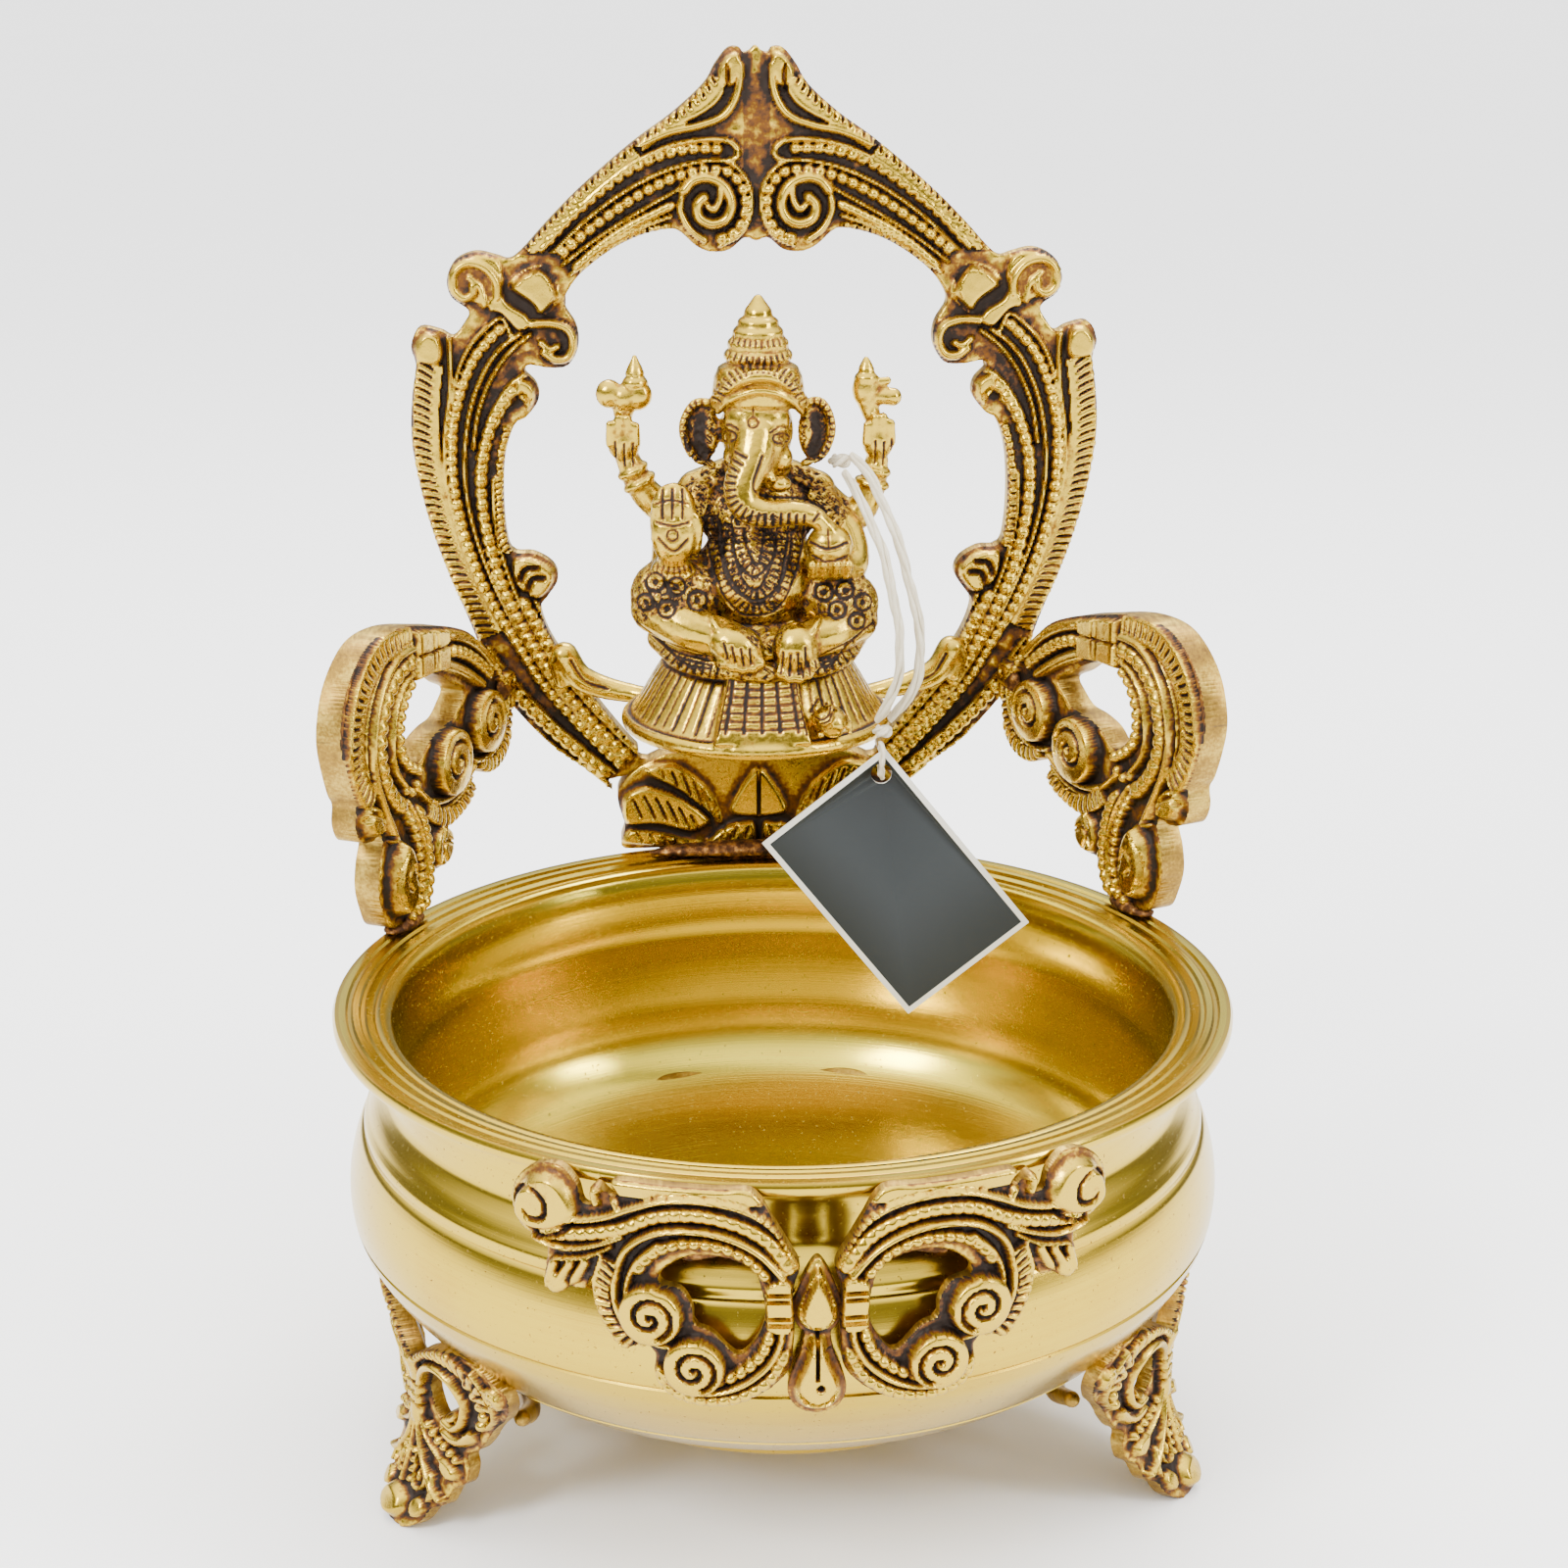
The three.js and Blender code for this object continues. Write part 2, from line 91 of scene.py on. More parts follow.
class amount:
    def __init__(self, kit, socket):
        self.kit = kit
        self.socket = socket

    def sum(self, how, other, swap=False):
        pair = [other, self] if swap else [self, other]
        return self.kit.add("ShaderNodeMath", {"operation": how}, {0: pair[0], 1: pair[1]})

    def __add__(self, other):
        return self.sum("ADD", other)

    def __radd__(self, other):
        return self.sum("ADD", other)

    def __sub__(self, other):
        return self.sum("SUBTRACT", other)

    def __rsub__(self, other):
        return self.sum("SUBTRACT", other, True)

    def __mul__(self, other):
        return self.sum("MULTIPLY", other)

    def __rmul__(self, other):
        return self.sum("MULTIPLY", other)

    def __truediv__(self, other):
        return self.sum("DIVIDE", other)

    def __pow__(self, other):
        return self.sum("POWER", other)

    def kept(self):
        return self.kit.add("ShaderNodeClamp", {}, {"Value": self})

    def out(self, name):
        return amount(self.kit, self.socket.node.outputs[name])


class finish:
    def __init__(self, name):
        self.material = bpy.data.materials.new(name)
        self.material.use_nodes = True
        self.tree = self.material.node_tree
        self.shader = self.tree.nodes["Principled BSDF"]
        self.shader.inputs["IOR"].default_value = 1.45

    def add(self, kind, settings, sockets):
        node = self.tree.nodes.new(kind)
        for key, setting in settings.items():
            if key == "stops":
                ramp = node.color_ramp
                while len(ramp.elements) < len(setting):
                    ramp.elements.new(1)
                for element, (place, tone) in zip(ramp.elements, setting):
                    element.position = place
                    element.color = (*tone, 1)
            else:
                setattr(node, key, setting)
        for key, value in sockets.items():
            self.join(value, node.inputs[key])
        return amount(self, node.outputs[0])

    def join(self, value, socket):
        if isinstance(value, amount):
            self.tree.links.new(value.socket, socket)
        else:
            socket.default_value = value

    def noise(self, where, scale, detail=3, rough=0.55):
        return self.add("ShaderNodeTexNoise", {},
                        {"Vector": where, "Scale": scale, "Detail": detail, "Roughness": rough})

    def ramp(self, value, stops):
        return self.add("ShaderNodeValToRGB", {"stops": stops}, {"Fac": value})

    def blend(self, share, first, second, how="MIX"):
        mix = self.add("ShaderNodeMix", {"data_type": "RGBA", "blend_type": how},
                       {0: share, 6: first, 7: second})
        return amount(self, mix.socket.node.outputs[2])

    def place(self):
        return self.add("ShaderNodeTexCoord", {}, {}).out("Object")

    def stretch(self, where, scale):
        return self.add("ShaderNodeMapping", {}, {"Vector": where, "Scale": scale})

    def bump(self, height, strength, distance):
        return self.add("ShaderNodeBump", {}, {"Height": height, "Strength": strength, "Distance": distance})

    def set(self, **sockets):
        for key, value in sockets.items():
            self.join(value, self.shader.inputs[key.replace("_", " ")])
        return self.material


# the antique finish, from bare metal down to the soot in the hollows
castLook = {
    "gold": (0.54, 0.360, 0.033), "deepGold": (0.34, 0.185, 0.014), "orange": (0.16, 0.058, 0.006),
    "brown": (0.095, 0.036, 0.010), "black": (0.018, 0.010, 0.006),
}


def castBrass(look):
    f = finish("castBrass")
    where = f.place()
    recess = f.add("ShaderNodeAttribute", {"attribute_name": "recess"}, {}).out("Fac")
    blotch = f.noise(where, 180, 4, 0.6)
    grit = f.noise(where, 900, 3, 0.6)
    speck = f.noise(where, 2200, 2, 0.5)
    dirt = (recess * 1.15 + 0.06 + (blotch - 0.5) * 0.95 + (grit - 0.5) * 0.9).kept()
    tone = f.ramp(dirt, [(0.0, look["gold"]), (0.26, look["gold"]), (0.42, look["deepGold"]),
                         (0.58, look["orange"]),
                         (0.76, look["brown"]), (0.95, look["black"])])
    rough = (0.2 + dirt * 0.42 + (grit - 0.5) * 0.12).kept()
    bumpy = f.bump(grit * 0.6 + speck * 0.4, 0.35, 0.00012)
    return f.set(Base_Color=tone, Roughness=rough, Metallic=(1.06 - dirt * 0.55).kept(), Normal=bumpy)


def brushedBrass():
    # the filed edges of the castings
    f = finish("brushedBrass")
    where = f.place()
    lines = f.noise(f.stretch(where, (1500, 160, 1500)), 1, 3, 0.6)
    cloud = f.noise(where, 90, 4, 0.6)
    shade = (cloud * 0.9 + (lines - 0.5) * 0.5).kept()
    tone = f.ramp(shade, [(0.2, (0.13, 0.07, 0.022)), (0.42, (0.28, 0.165, 0.028)),
                          (0.62, (0.54, 0.37, 0.07))])
    return f.set(Base_Color=tone, Roughness=(0.3 + lines * 0.3).kept(), Metallic=1.0,
                 Normal=f.bump(lines, 0.4, 0.0001))


# painted light: the inside colour is a lighter, yellower copy of the outside brass, standing in for the bright
# reflection inside the bowl and offsetting the orange of its inner bounces
turnedLook = {"outside": (0.54, 0.370, 0.030), "inside": (0.62, 0.48, 0.042), "ring": (0.44, 0.285, 0.019),
              "rings": 0.9}


def turnedBrass(name, gold, rings):
    # lathe-turned metal: fine rings round the axis, faint stains, small pits
    f = finish(name)
    where = f.place()
    parts = f.add("ShaderNodeSeparateXYZ", {}, {"Vector": where})
    x, y, z = parts, parts.out("Y"), parts.out("Z")
    radius = (x * x + y * y) ** 0.5
    turn = f.add("ShaderNodeCombineXYZ", {}, {"X": radius * 2600, "Y": z * 2600, "Z": 0.0})
    ring = f.noise(turn, 1, 2, 0.6)
    wide = f.add("ShaderNodeCombineXYZ", {}, {"X": radius * 420, "Y": z * 420, "Z": 0.0})
    band = f.noise(wide, 1, 3, 0.5)
    cloud = f.noise(where, 28, 4, 0.55)
    pit = f.noise(where, 1300, 2, 0.5)
    pits = ((pit - 0.68) * 14).kept()
    stain = ((cloud - 0.48) * 2.2 + (band - 0.5) * 1.4 + (ring - 0.5) * 0.6).kept()
    tone = f.blend(stain * 0.6, (*gold, 1), (gold[0] * 0.80, gold[1] * 0.66, gold[2] * 0.42, 1))
    tone = f.blend(pits * 0.8, tone, (0.16, 0.075, 0.02, 1))
    rough = (0.15 + ring * 0.10 + stain * 0.10 + pits * 0.3).kept()
    return f.set(Base_Color=tone, Roughness=rough, Metallic=1.0,
                 Normal=f.bump(ring * rings + band * 0.5 - pits * 0.8, 0.18, 0.00012))


def brazeMetal():
    f = finish("brazeMetal")
    where = f.place()
    lump = f.noise(where, 420, 5, 0.65)
    tone = f.ramp(lump, [(0.32, (0.012, 0.008, 0.006)), (0.5, (0.10, 0.04, 0.014)),
                         (0.62, (0.33, 0.15, 0.035)),
                         (0.74, (0.62, 0.42, 0.14))])
    return f.set(Base_Color=tone, Roughness=(0.75 - lump * 0.4).kept(), Metallic=0.85,
                 Normal=f.bump(lump, 0.8, 0.0005))


def cardFace(name, tone, second):
    f = finish(name)
    where = f.place()
    fibre = f.noise(f.stretch(where, (900, 900, 2200)), 1, 4, 0.6)
    cloud = f.noise(where, 60, 3, 0.5)
    mixed = f.blend((fibre * 0.7 + cloud * 0.3), (*tone, 1), (*second, 1))
    return f.set(Base_Color=mixed, Roughness=(0.72 + fibre * 0.2).kept(), Metallic=0.0,
                 Normal=f.bump(fibre, 0.25, 0.00006))


def raffiaFibre():
    f = finish("raffiaFibre")
    along = f.add("ShaderNodeAttribute", {"attribute_name": "strand"}, {}).out("Vector")
    streak = f.noise(f.stretch(along, (9, 140, 1)), 1, 4, 0.6)
    blot = f.noise(f.stretch(along, (5, 60, 1)), 1, 3, 0.5)
    tone = f.ramp(streak * 0.75 + blot * 0.25, [(0.32, (0.42, 0.34, 0.20)), (0.48, (0.70, 0.62, 0.45)),
                                                (0.68, (0.88, 0.83, 0.70))])
    return f.set(Base_Color=tone, Roughness=(0.62 + streak * 0.25).kept(), Metallic=0.0,
                 Normal=f.bump(streak, 0.6, 0.0002))


castGold = castBrass(castLook)
edgeGold = brushedBrass()
bowlGold = turnedBrass("turnedBrass", turnedLook["outside"], 0.5)
# lighter, yellower copy of the bowl brass for the inside: painted light for the bright interior reflection
bowlInnerLit = turnedBrass("turnedInsideLit", turnedLook["inside"], turnedLook["rings"])
ringGold = turnedBrass("turnedRing", turnedLook["ring"], turnedLook["rings"])
braze = brazeMetal()
raffia = raffiaFibre()
stage("materials made")


# lines drawn in millimetres and raised out of a sheet

def between(a, b, c, d, t):
    # the smooth curve from b to c, with a before and d after
    return 0.5 * (2 * b + (c - a) * t + (2 * a - 5 * b + 4 * c - d) * t * t
                  + (3 * b - a - 3 * c + d) * t ** 3)


def curveThrough(points, closed=False, fine=8):
    p = np.array(points, float)
    n = len(p)
    steps = np.linspace(0, 1, fine, endpoint=False)[:, None]
    runs = []
    for i in range(n if closed else n - 1):
        if closed:
            a, b, c, d = p[(i - 1) % n], p[i], p[(i + 1) % n], p[(i + 2) % n]
        else:
            a, b, c, d = p[max(i - 1, 0)], p[i], p[i + 1], p[min(i + 2, n - 1)]
        runs.append(between(a, b, c, d, steps))
    runs.append(p[:1] if closed else p[-1:])
    return np.concatenate(runs)


def asDrawn(points):
    return points


def mirror(points):
    return [(-x, z) for x, z in points]


def spiral(x, z, start, turns, startAngle, hand):
    # run of points winding in from radius start
    t = np.linspace(0, 1, max(8, int(abs(turns) * 18)))
    r = start * (1 - t) ** 0.8
    a = math.radians(startAngle) + hand * turns * 2 * math.pi * t
    return np.stack([x + r * np.cos(a), z + r * np.sin(a)], 1)


class sheet:
    def __init__(self, low, high, step):
        self.step = step
        self.xs = np.arange(low[0], high[0] + step, step)
        self.zs = np.arange(low[1], high[1] + step, step)
        self.x, self.z = np.meshgrid(self.xs, self.zs)
        self.inside = np.full(self.x.shape, -1e3)
        self.high = np.zeros(self.x.shape)
        self.soot = np.zeros(self.x.shape)

    def window(self, path, reach):
        lo, hi = path.min(0) - reach, path.max(0) + reach
        i0, i1 = np.searchsorted(self.xs, [lo[0], hi[0]])
        j0, j1 = np.searchsorted(self.zs, [lo[1], hi[1]])
        return slice(max(j0 - 1, 0), j1 + 1), slice(max(i0 - 1, 0), i1 + 1)

    def near(self, path, part):
        x, z = self.x[part], self.z[part]
        best = np.full(x.shape, 1e9)
        along = np.zeros(x.shape)
        side = np.zeros(x.shape)
        start = 0.0
        for p, q in zip(path[:-1], path[1:]):
            d = q - p
            length = math.hypot(*d)
            if length < 1e-9:
                continue
            t = np.clip(((x - p[0]) * d[0] + (z - p[1]) * d[1]) / length ** 2, 0, 1)
            ex, ez = x - p[0] - t * d[0], z - p[1] - t * d[1]
            dist = ex * ex + ez * ez
            m = dist < best
            best[m] = dist[m]
            along[m] = start + t[m] * length
            side[m] = (d[0] * ez - d[1] * ex)[m]
            start += length
        far = np.sqrt(best)
        return far, along, np.where(side < 0, -far, far), start

    def filled(self, points, closedCurve=True, fine=6):
        path = curveThrough(points, True, fine) if closedCurve else np.array(list(points) + [points[0]],
                float)
        part = (slice(None), slice(None))
        far = self.near(path, part)[0]
        within = np.zeros(self.x.shape, bool)
        for p, q in zip(path[:-1], path[1:]):
            if p[1] == q[1]:
                continue
            cross = (self.z >= min(p[1], q[1])) & (self.z < max(p[1], q[1]))
            at = p[0] + (self.z - p[1]) * (q[0] - p[0]) / (q[1] - p[1])
            within ^= cross & (self.x < at)
        return np.where(within, far, -far)

    def outline(self, points, **how):
        self.inside = np.maximum(self.inside, self.filled(points, **how))

    def hole(self, points, **how):
        self.inside = np.minimum(self.inside, -self.filled(points, **how))

    def lift(self, points, height, soft=0.8, **how):
        # a raised patch with rounded borders
        f = self.filled(points, **how)
        self.high = np.maximum(self.high, height * smoothStep(f / soft))

    def rib(self, points, width, height, fine=8, taper=0.0, sink=False):
        path = curveThrough(points, False, fine)
        part = self.window(path, width)
        far, along, side, total = self.near(path, part)
        half = width / 2
        if taper:
            half = half * np.clip(np.minimum(along, total - along) / taper, 0.15, 1)
        shape = np.sqrt(np.clip(1 - (far / half) ** 2, 0, 1))
        top = height * shape * (far < half)
        if sink:
            self.high[part] = np.where(far < half, self.high[part] - height * shape, self.high[part])
        else:
            self.high[part] = np.maximum(self.high[part], top)

    def groove(self, points, width, depth, fine=8, taper=0.0):
        self.rib(points, width, depth, fine=fine, taper=taper, sink=True)

    def channel(self, points, width, level, fine=8):
        # a sunk lane at a set level, with soot in it
        path = curveThrough(points, False, fine)
        part = self.window(path, width)
        far = self.near(path, part)[0]
        m = far < width / 2
        self.high[part] = np.where(m, np.minimum(self.high[part], level), self.high[part])
        self.soot[part] = np.maximum(self.soot[part], 0.5 * smoothStep((width / 2 - far) / 0.5))

    def beads(self, points, size, height, pitch, base=0.0, fine=8, square=0.0):
        path = curveThrough(points, False, fine)
        part = self.window(path, size)
        far, along, side, total = self.near(path, part)
        count = max(1, round(total / pitch))
        gap = total / count
        u = (along % gap) - gap / 2
        r = size / 2
        if square:
            d = (np.abs(u) ** (2 + square) + far ** (2 + square)) ** (1 / (2 + square)) / r
        else:
            d = np.sqrt(u * u + far * far) / r
        bead = np.where(d < 1, base + height * np.sqrt(np.clip(1 - d * d, 0, 1)), 0)
        self.high[part] = np.maximum(self.high[part], bead)

    def feathers(self, points, width, height, pitch, lean=0.6, depth=0.8, bow=0.25, span=(0.1, 0.9), fine=8):
        # a smooth strip cut with a row of crescents; the path is its centre line
        path = curveThrough(points, False, fine)
        part = self.window(path, width)
        far, along, side, total = self.near(path, part)
        across = side / width + 0.5
        count = max(1, round(total / pitch))
        gap = total / count
        phase = (along + lean * side - bow * (across - 0.5) ** 2 * 4 * pitch) / gap
        frac = np.abs(phase - np.floor(phase) - 0.5)
        cut = np.clip(1 - frac / 0.26, 0, 1)
        cut = cut * smoothStep((across - span[0]) / 0.12) * smoothStep((span[1] - across) / 0.12)
        crown = height * (0.75 + 0.25 * np.sqrt(np.clip(1 - (2 * across - 1) ** 2, 0, 1)))
        m = (far < width / 2) & (along > 0.02) & (along < total - 0.02)
        top = crown - depth * cut
        self.high[part] = np.where(m, np.maximum(top, 0.05), self.high[part])
        self.soot[part] = np.where(m, np.maximum(self.soot[part], cut * 0.75), self.soot[part])

    def ticks(self, points, width, depth, pitch, lean=0.0, fine=8):
        # cuts across a line that is already raised
        path = curveThrough(points, False, fine)
        part = self.window(path, width)
        far, along, side, total = self.near(path, part)
        count = max(1, round(total / pitch))
        phase = (along + lean * side) / (total / count)
        frac = np.abs(phase - np.floor(phase) - 0.5)
        cut = np.clip(1 - frac / 0.2, 0, 1) * (far < width / 2)
        self.high[part] -= depth * cut
        self.soot[part] = np.maximum(self.soot[part], cut * 0.7)

    def boss(self, x, z, radius, height, turns=1.2, angle=0.0, hand=1, groove=0.5, flat=0.7):
        # a snail: steep sides, a domed face and a groove winding in
        r = np.hypot(self.x - x, self.z - z)
        dome = height * (flat + (1 - flat) * np.sqrt(np.clip(1 - (r / radius) ** 2, 0, 1)))
        wall = smoothStep((radius - r) / 0.7)
        self.high = np.where(r < radius, np.maximum(self.high, dome * wall), self.high)
        if groove:
            run = spiral(x, z, radius * 0.72, turns, angle, hand)
            self.groove(run, max(0.9, radius * 0.16), groove, fine=3)

    def finished(self, plateEdge=0.8, least=-0.6):
        rounded = np.sqrt(np.clip(1 - (1 - np.clip(self.inside / plateEdge, 0, 1)) ** 2, 0, 1))
        self.high = np.maximum(self.high, least)
        self.high = self.high * (0.35 + 0.65 * rounded) - 0.5 * (1 - rounded)


def smoothStep(t):
    t = np.clip(t, 0, 1)
    return t * t * (3 - 2 * t)


def blurred(grid, reach):
    # three box passes each way
    out = grid
    n = max(1, int(round(reach)))
    for _ in range(3):
        for axis in (0, 1):
            pad = [(0, 0), (0, 0)]
            pad[axis] = (n + 1, n)
            c = np.cumsum(np.pad(out, pad, mode="edge"), axis=axis)
            hi = np.take(c, range(2 * n + 1, c.shape[axis]), axis=axis)
            lo = np.take(c, range(0, c.shape[axis] - 2 * n - 1), axis=axis)
            out = (hi - lo) / (2 * n + 1)
    return out


def newPiece(name, verts, faces, mats, faceMats=None, recess=None, smooth=55):
    mesh = bpy.data.meshes.new(name)
    mesh.from_pydata([tuple(v) for v in verts], [], [tuple(int(i) for i in f) for f in faces])
    for m in mats:
        mesh.materials.append(m)
    mesh.polygons.foreach_set("use_smooth", [True] * len(mesh.polygons))
    if faceMats is not None:
        mesh.polygons.foreach_set("material_index", faceMats)
    if recess is not None:
        mesh.attributes.new("recess", "FLOAT", "POINT").data.foreach_set("value",
                np.asarray(recess, np.float32))
    mesh.update()
    mesh.set_sharp_from_angle(angle=math.radians(smooth))
    obj = bpy.data.objects.new(name, mesh)
    bpy.context.scene.collection.objects.link(obj)
    return obj


def facedOut(obj):
    # every face of a closed mesh turned outward
    bm = bmesh.new()
    bm.from_mesh(obj.data)
    bmesh.ops.recalc_face_normals(bm, faces=bm.faces[:])
    bm.to_mesh(obj.data)
    bm.free()
    return obj


def castFrom(name, s, place, back, mats, sooty=1.0, wide=1.5):
    # the drawn sheet as a closed casting: relief in front, walls and a flat back
    f = s.inside
    mid = (f[:-1, :-1] + f[1:, :-1] + f[:-1, 1:] + f[1:, 1:]) / 4
    keep = mid > 0
    keep[0, :] = keep[-1, :] = False
    keep[:, 0] = keep[:, -1] = False
    gz, gx = np.gradient(f, s.step)
    slope = np.maximum(gx * gx + gz * gz, 0.25)
    used = np.zeros(f.shape, int)
    for dj in (0, 1):
        for di in (0, 1):
            used[dj:dj + keep.shape[0], di:di + keep.shape[1]] += keep
    border = (used > 0) & (used < 4)
    x = np.where(border, s.x - np.clip(f, -s.step, s.step) * gx / slope, s.x)
    z = np.where(border, s.z - np.clip(f, -s.step, s.step) * gz / slope, s.z)
    low = blurred(s.high, wide / s.step)
    recess = np.clip((low - s.high) * 0.9 + 0.12, 0, 1) + s.soot * 0.75
    steep = np.hypot(*np.gradient(s.high, s.step))
    recess = np.clip(recess * sooty + smoothStep((steep - 0.9) / 1.6) * 0.22, 0, 1)
    number = np.full(f.shape, -1)
    rows, cols = np.nonzero(used > 0)
    number[rows, cols] = np.arange(len(rows))
    front = place(x[rows, cols], z[rows, cols], s.high[rows, cols])
    rim = border[rows, cols]
    rimIndex = np.full(len(rows), -1)
    rimIndex[rim] = len(rows) + np.arange(rim.sum())
    rear = place(x[rows, cols][rim], z[rows, cols][rim], np.full(rim.sum(), -back))
    cj, ci = np.nonzero(keep)
    quads = np.stack([number[cj, ci], number[cj, ci + 1], number[cj + 1, ci + 1], number[cj + 1, ci]], 1)
    edges = np.concatenate([quads[:, [0, 1]], quads[:, [1, 2]], quads[:, [2, 3]], quads[:, [3, 0]]])
    code = edges[:, 0].astype(np.int64) * (len(rows) + 1) + edges[:, 1]
    turned = edges[:, 1].astype(np.int64) * (len(rows) + 1) + edges[:, 0]
    lone = edges[~np.isin(code, turned)]
    walls = np.stack([lone[:, 1], lone[:, 0], rimIndex[lone[:, 0]], rimIndex[lone[:, 1]]], 1)
    verts = np.concatenate([front, rear]) * mm
    at = [Vector((px, pz)) for px, pz in zip(x[rows, cols][rim], z[rows, cols][rim])]
    ties = (rimIndex[lone] - len(rows)).tolist()
    flat = delaunay_2d_cdt(at, ties, [], 1, 1e-7)
    rearFaces = []
    for tri in flat[2]:
        ids = [flat[3][k][0] for k in tri]
        cx = sum(at[k].x for k in ids) / 3
        cz = sum(at[k].y for k in ids) / 3
        j = min(max(int(round((cz - s.zs[0]) / s.step)), 0), f.shape[0] - 1)
        i = min(max(int(round((cx - s.xs[0]) / s.step)), 0), f.shape[1] - 1)
        if f[j, i] > -0.3 * s.step:
            rearFaces.append([k + len(rows) for k in ids])
    faces = quads.tolist() + walls.tolist() + rearFaces
    kinds = np.concatenate([np.zeros(len(quads), int), np.ones(len(walls) + len(rearFaces), int)])
    shade = np.concatenate([recess[rows, cols], np.full(rim.sum(), 0.35)])
    return facedOut(newPiece(name, verts, faces, mats, kinds, shade))


def ride(obj, replaced=(), body="bowl"):
    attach(obj, body)
    if replaced:
        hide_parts(*replaced)
    return obj


# lines and tubes in space

def turnedBy(points, turn):
    rx, ry, rz = [Matrix.Rotation(math.radians(angle), 3, axis) for angle, axis in zip(turn, "XYZ")]
    return np.asarray(points, float) @ np.array(rz @ ry @ rx).T


def through(points, pitch):
    # a smooth line through points in space, at an even spacing
    pts = np.asarray(points, float)
    if len(pts) < 3:
        dense = np.linspace(pts[0], pts[-1], 40)
    else:
        ends = np.vstack([2 * pts[0] - pts[1], pts, 2 * pts[-1] - pts[-2]])
        dense = []
        for a, b, c, d in zip(ends, ends[1:], ends[2:], ends[3:]):
            for t in np.linspace(0, 1, 16, endpoint=False):
                dense.append(between(a, b, c, d, t))
        dense = np.array(dense + [pts[-1]])
    run = np.concatenate([[0], np.cumsum(np.linalg.norm(np.diff(dense, axis=0), axis=1))])
    n = max(2, int(run[-1] / pitch) + 1)
    at = np.linspace(0, run[-1], n)
    return np.stack([np.interp(at, run, dense[:, k]) for k in range(dense.shape[1])], 1)


def tubeRound(line, radii, sides=12, flat=1.0, twist=0.0):
    # closed tube along a line; radii one for each point of the line
    way = np.gradient(line, axis=0)
    way /= np.linalg.norm(way, axis=1)[:, None]
    side = np.cross(way[0], (0.31, 0.87, 0.38))
    rows = []
    for k, (p, t, r) in enumerate(zip(line, way, radii)):
        side = side - t * side.dot(t)
        side /= np.linalg.norm(side)
        up = np.cross(t, side)
        a = np.linspace(0, 2 * math.pi, sides, endpoint=False) + twist * k
        rows.append(p + r * (np.cos(a)[:, None] * side + flat * np.sin(a)[:, None] * up))
    n = len(line)
    verts = np.vstack(rows + [line[:1], line[-1:]])
    faces = []
    for k in range(n - 1):
        for i in range(sides):
            j = (i + 1) % sides
            faces.append((k * sides + i, k * sides + j, (k + 1) * sides + j, (k + 1) * sides + i))
    faces += [((i + 1) % sides, i, n * sides) for i in range(sides)]
    faces += [((n - 1) * sides + i, (n - 1) * sides + (i + 1) % sides, n * sides + 1) for i in range(sides)]
    return verts, faces


# the two raffia strands of the swing card, with their knots and loop

raffiaSet = {
    "diameter": 0.0024,
    "front": [(0.0182, 0.0574, 0.2118), (0.0206, 0.0516, 0.208), (0.0244, 0.0462, 0.2),
              (0.0274, 0.0424, 0.19), (0.0296, 0.0398, 0.178),
              (0.0294, 0.0396, 0.167), (0.027, 0.041, 0.1596), (0.025, 0.0432, 0.1556)],
    "back": [(0.0198, 0.0586, 0.2156), (0.024, 0.0528, 0.211), (0.0292, 0.0476, 0.199),
             (0.0328, 0.044, 0.186), (0.0348, 0.0426, 0.175),
             (0.0342, 0.0422, 0.166), (0.0312, 0.0428, 0.1598), (0.028, 0.0437, 0.1556)],
    "tagKnot": (0.0264, 0.0436, 0.1528),
    "shoulderKnot": (0.0174, 0.0614, 0.2138),
    "loop": (0.0262, 0.0436, 0.1456),
    "fibre": 0.0008, "offset": 0.00062, "turns": {"front": 1.6, "back": -1.2},
    "tagFibre": 0.00062, "shoulderFibre": 0.0007, "loopFibre": 0.00052,
}


def fibrePiece(name, lines, radius, flat=0.7, sides=10, twist=0.05):
    # closed fibres, with a map along and round each of them for the colour
    verts, faces, spots, count = [], [], [], 0
    for k, line in enumerate(lines):
        v, f = tubeRound(line, [radius * (1 + 0.16 * math.sin(0.9 * i + k * 2)) for i in range(len(line))],
                         sides, flat, twist)
        run = np.concatenate([[0], np.cumsum(np.linalg.norm(np.diff(line, axis=0), axis=1))]) * 40
        along = np.concatenate([np.repeat(run, sides), [run[0], run[-1]]])
        roundIt = np.tile(np.abs(np.linspace(-1, 1, sides, endpoint=False)), len(line))
        girth = np.concatenate([roundIt, [0, 0]]) * 0.25
        spots.append(np.stack([along, girth + k * 0.6, np.full(len(v), k * 1.7)], 1))
        verts.append(v)
        faces += [tuple(i + count for i in face) for face in f]
        count += len(v)
    piece = newPiece(name, np.vstack(verts), faces, [raffia], smooth=60)
    spot = piece.data.attributes.new("strand", "FLOAT_VECTOR", "POINT")
    spot.data.foreach_set("vector", np.vstack(spots).astype(np.float32).ravel())
    return piece


def laid(points, offset, turns, phase):
    # one fibre winding slowly round the strand's own line
    line = through(points, 0.0011)
    way = np.gradient(line, axis=0)
    way /= np.linalg.norm(way, axis=1)[:, None]
    side = np.cross(way, (0.2, 1.0, 0.1))
    side /= np.linalg.norm(side, axis=1)[:, None]
    up = np.cross(way, side)
    a = np.linspace(0, turns * 2 * math.pi, len(line)) + phase
    swell = 1 + 0.25 * np.sin(np.linspace(0, 9, len(line)) + phase * 2)
    ease = np.minimum(1, np.minimum(np.arange(len(line)), np.arange(len(line))[::-1]) / 4 + 0.25)
    return line + (offset * swell * ease)[:, None] * (np.cos(a)[:, None] * side + np.sin(a)[:, None] * up)


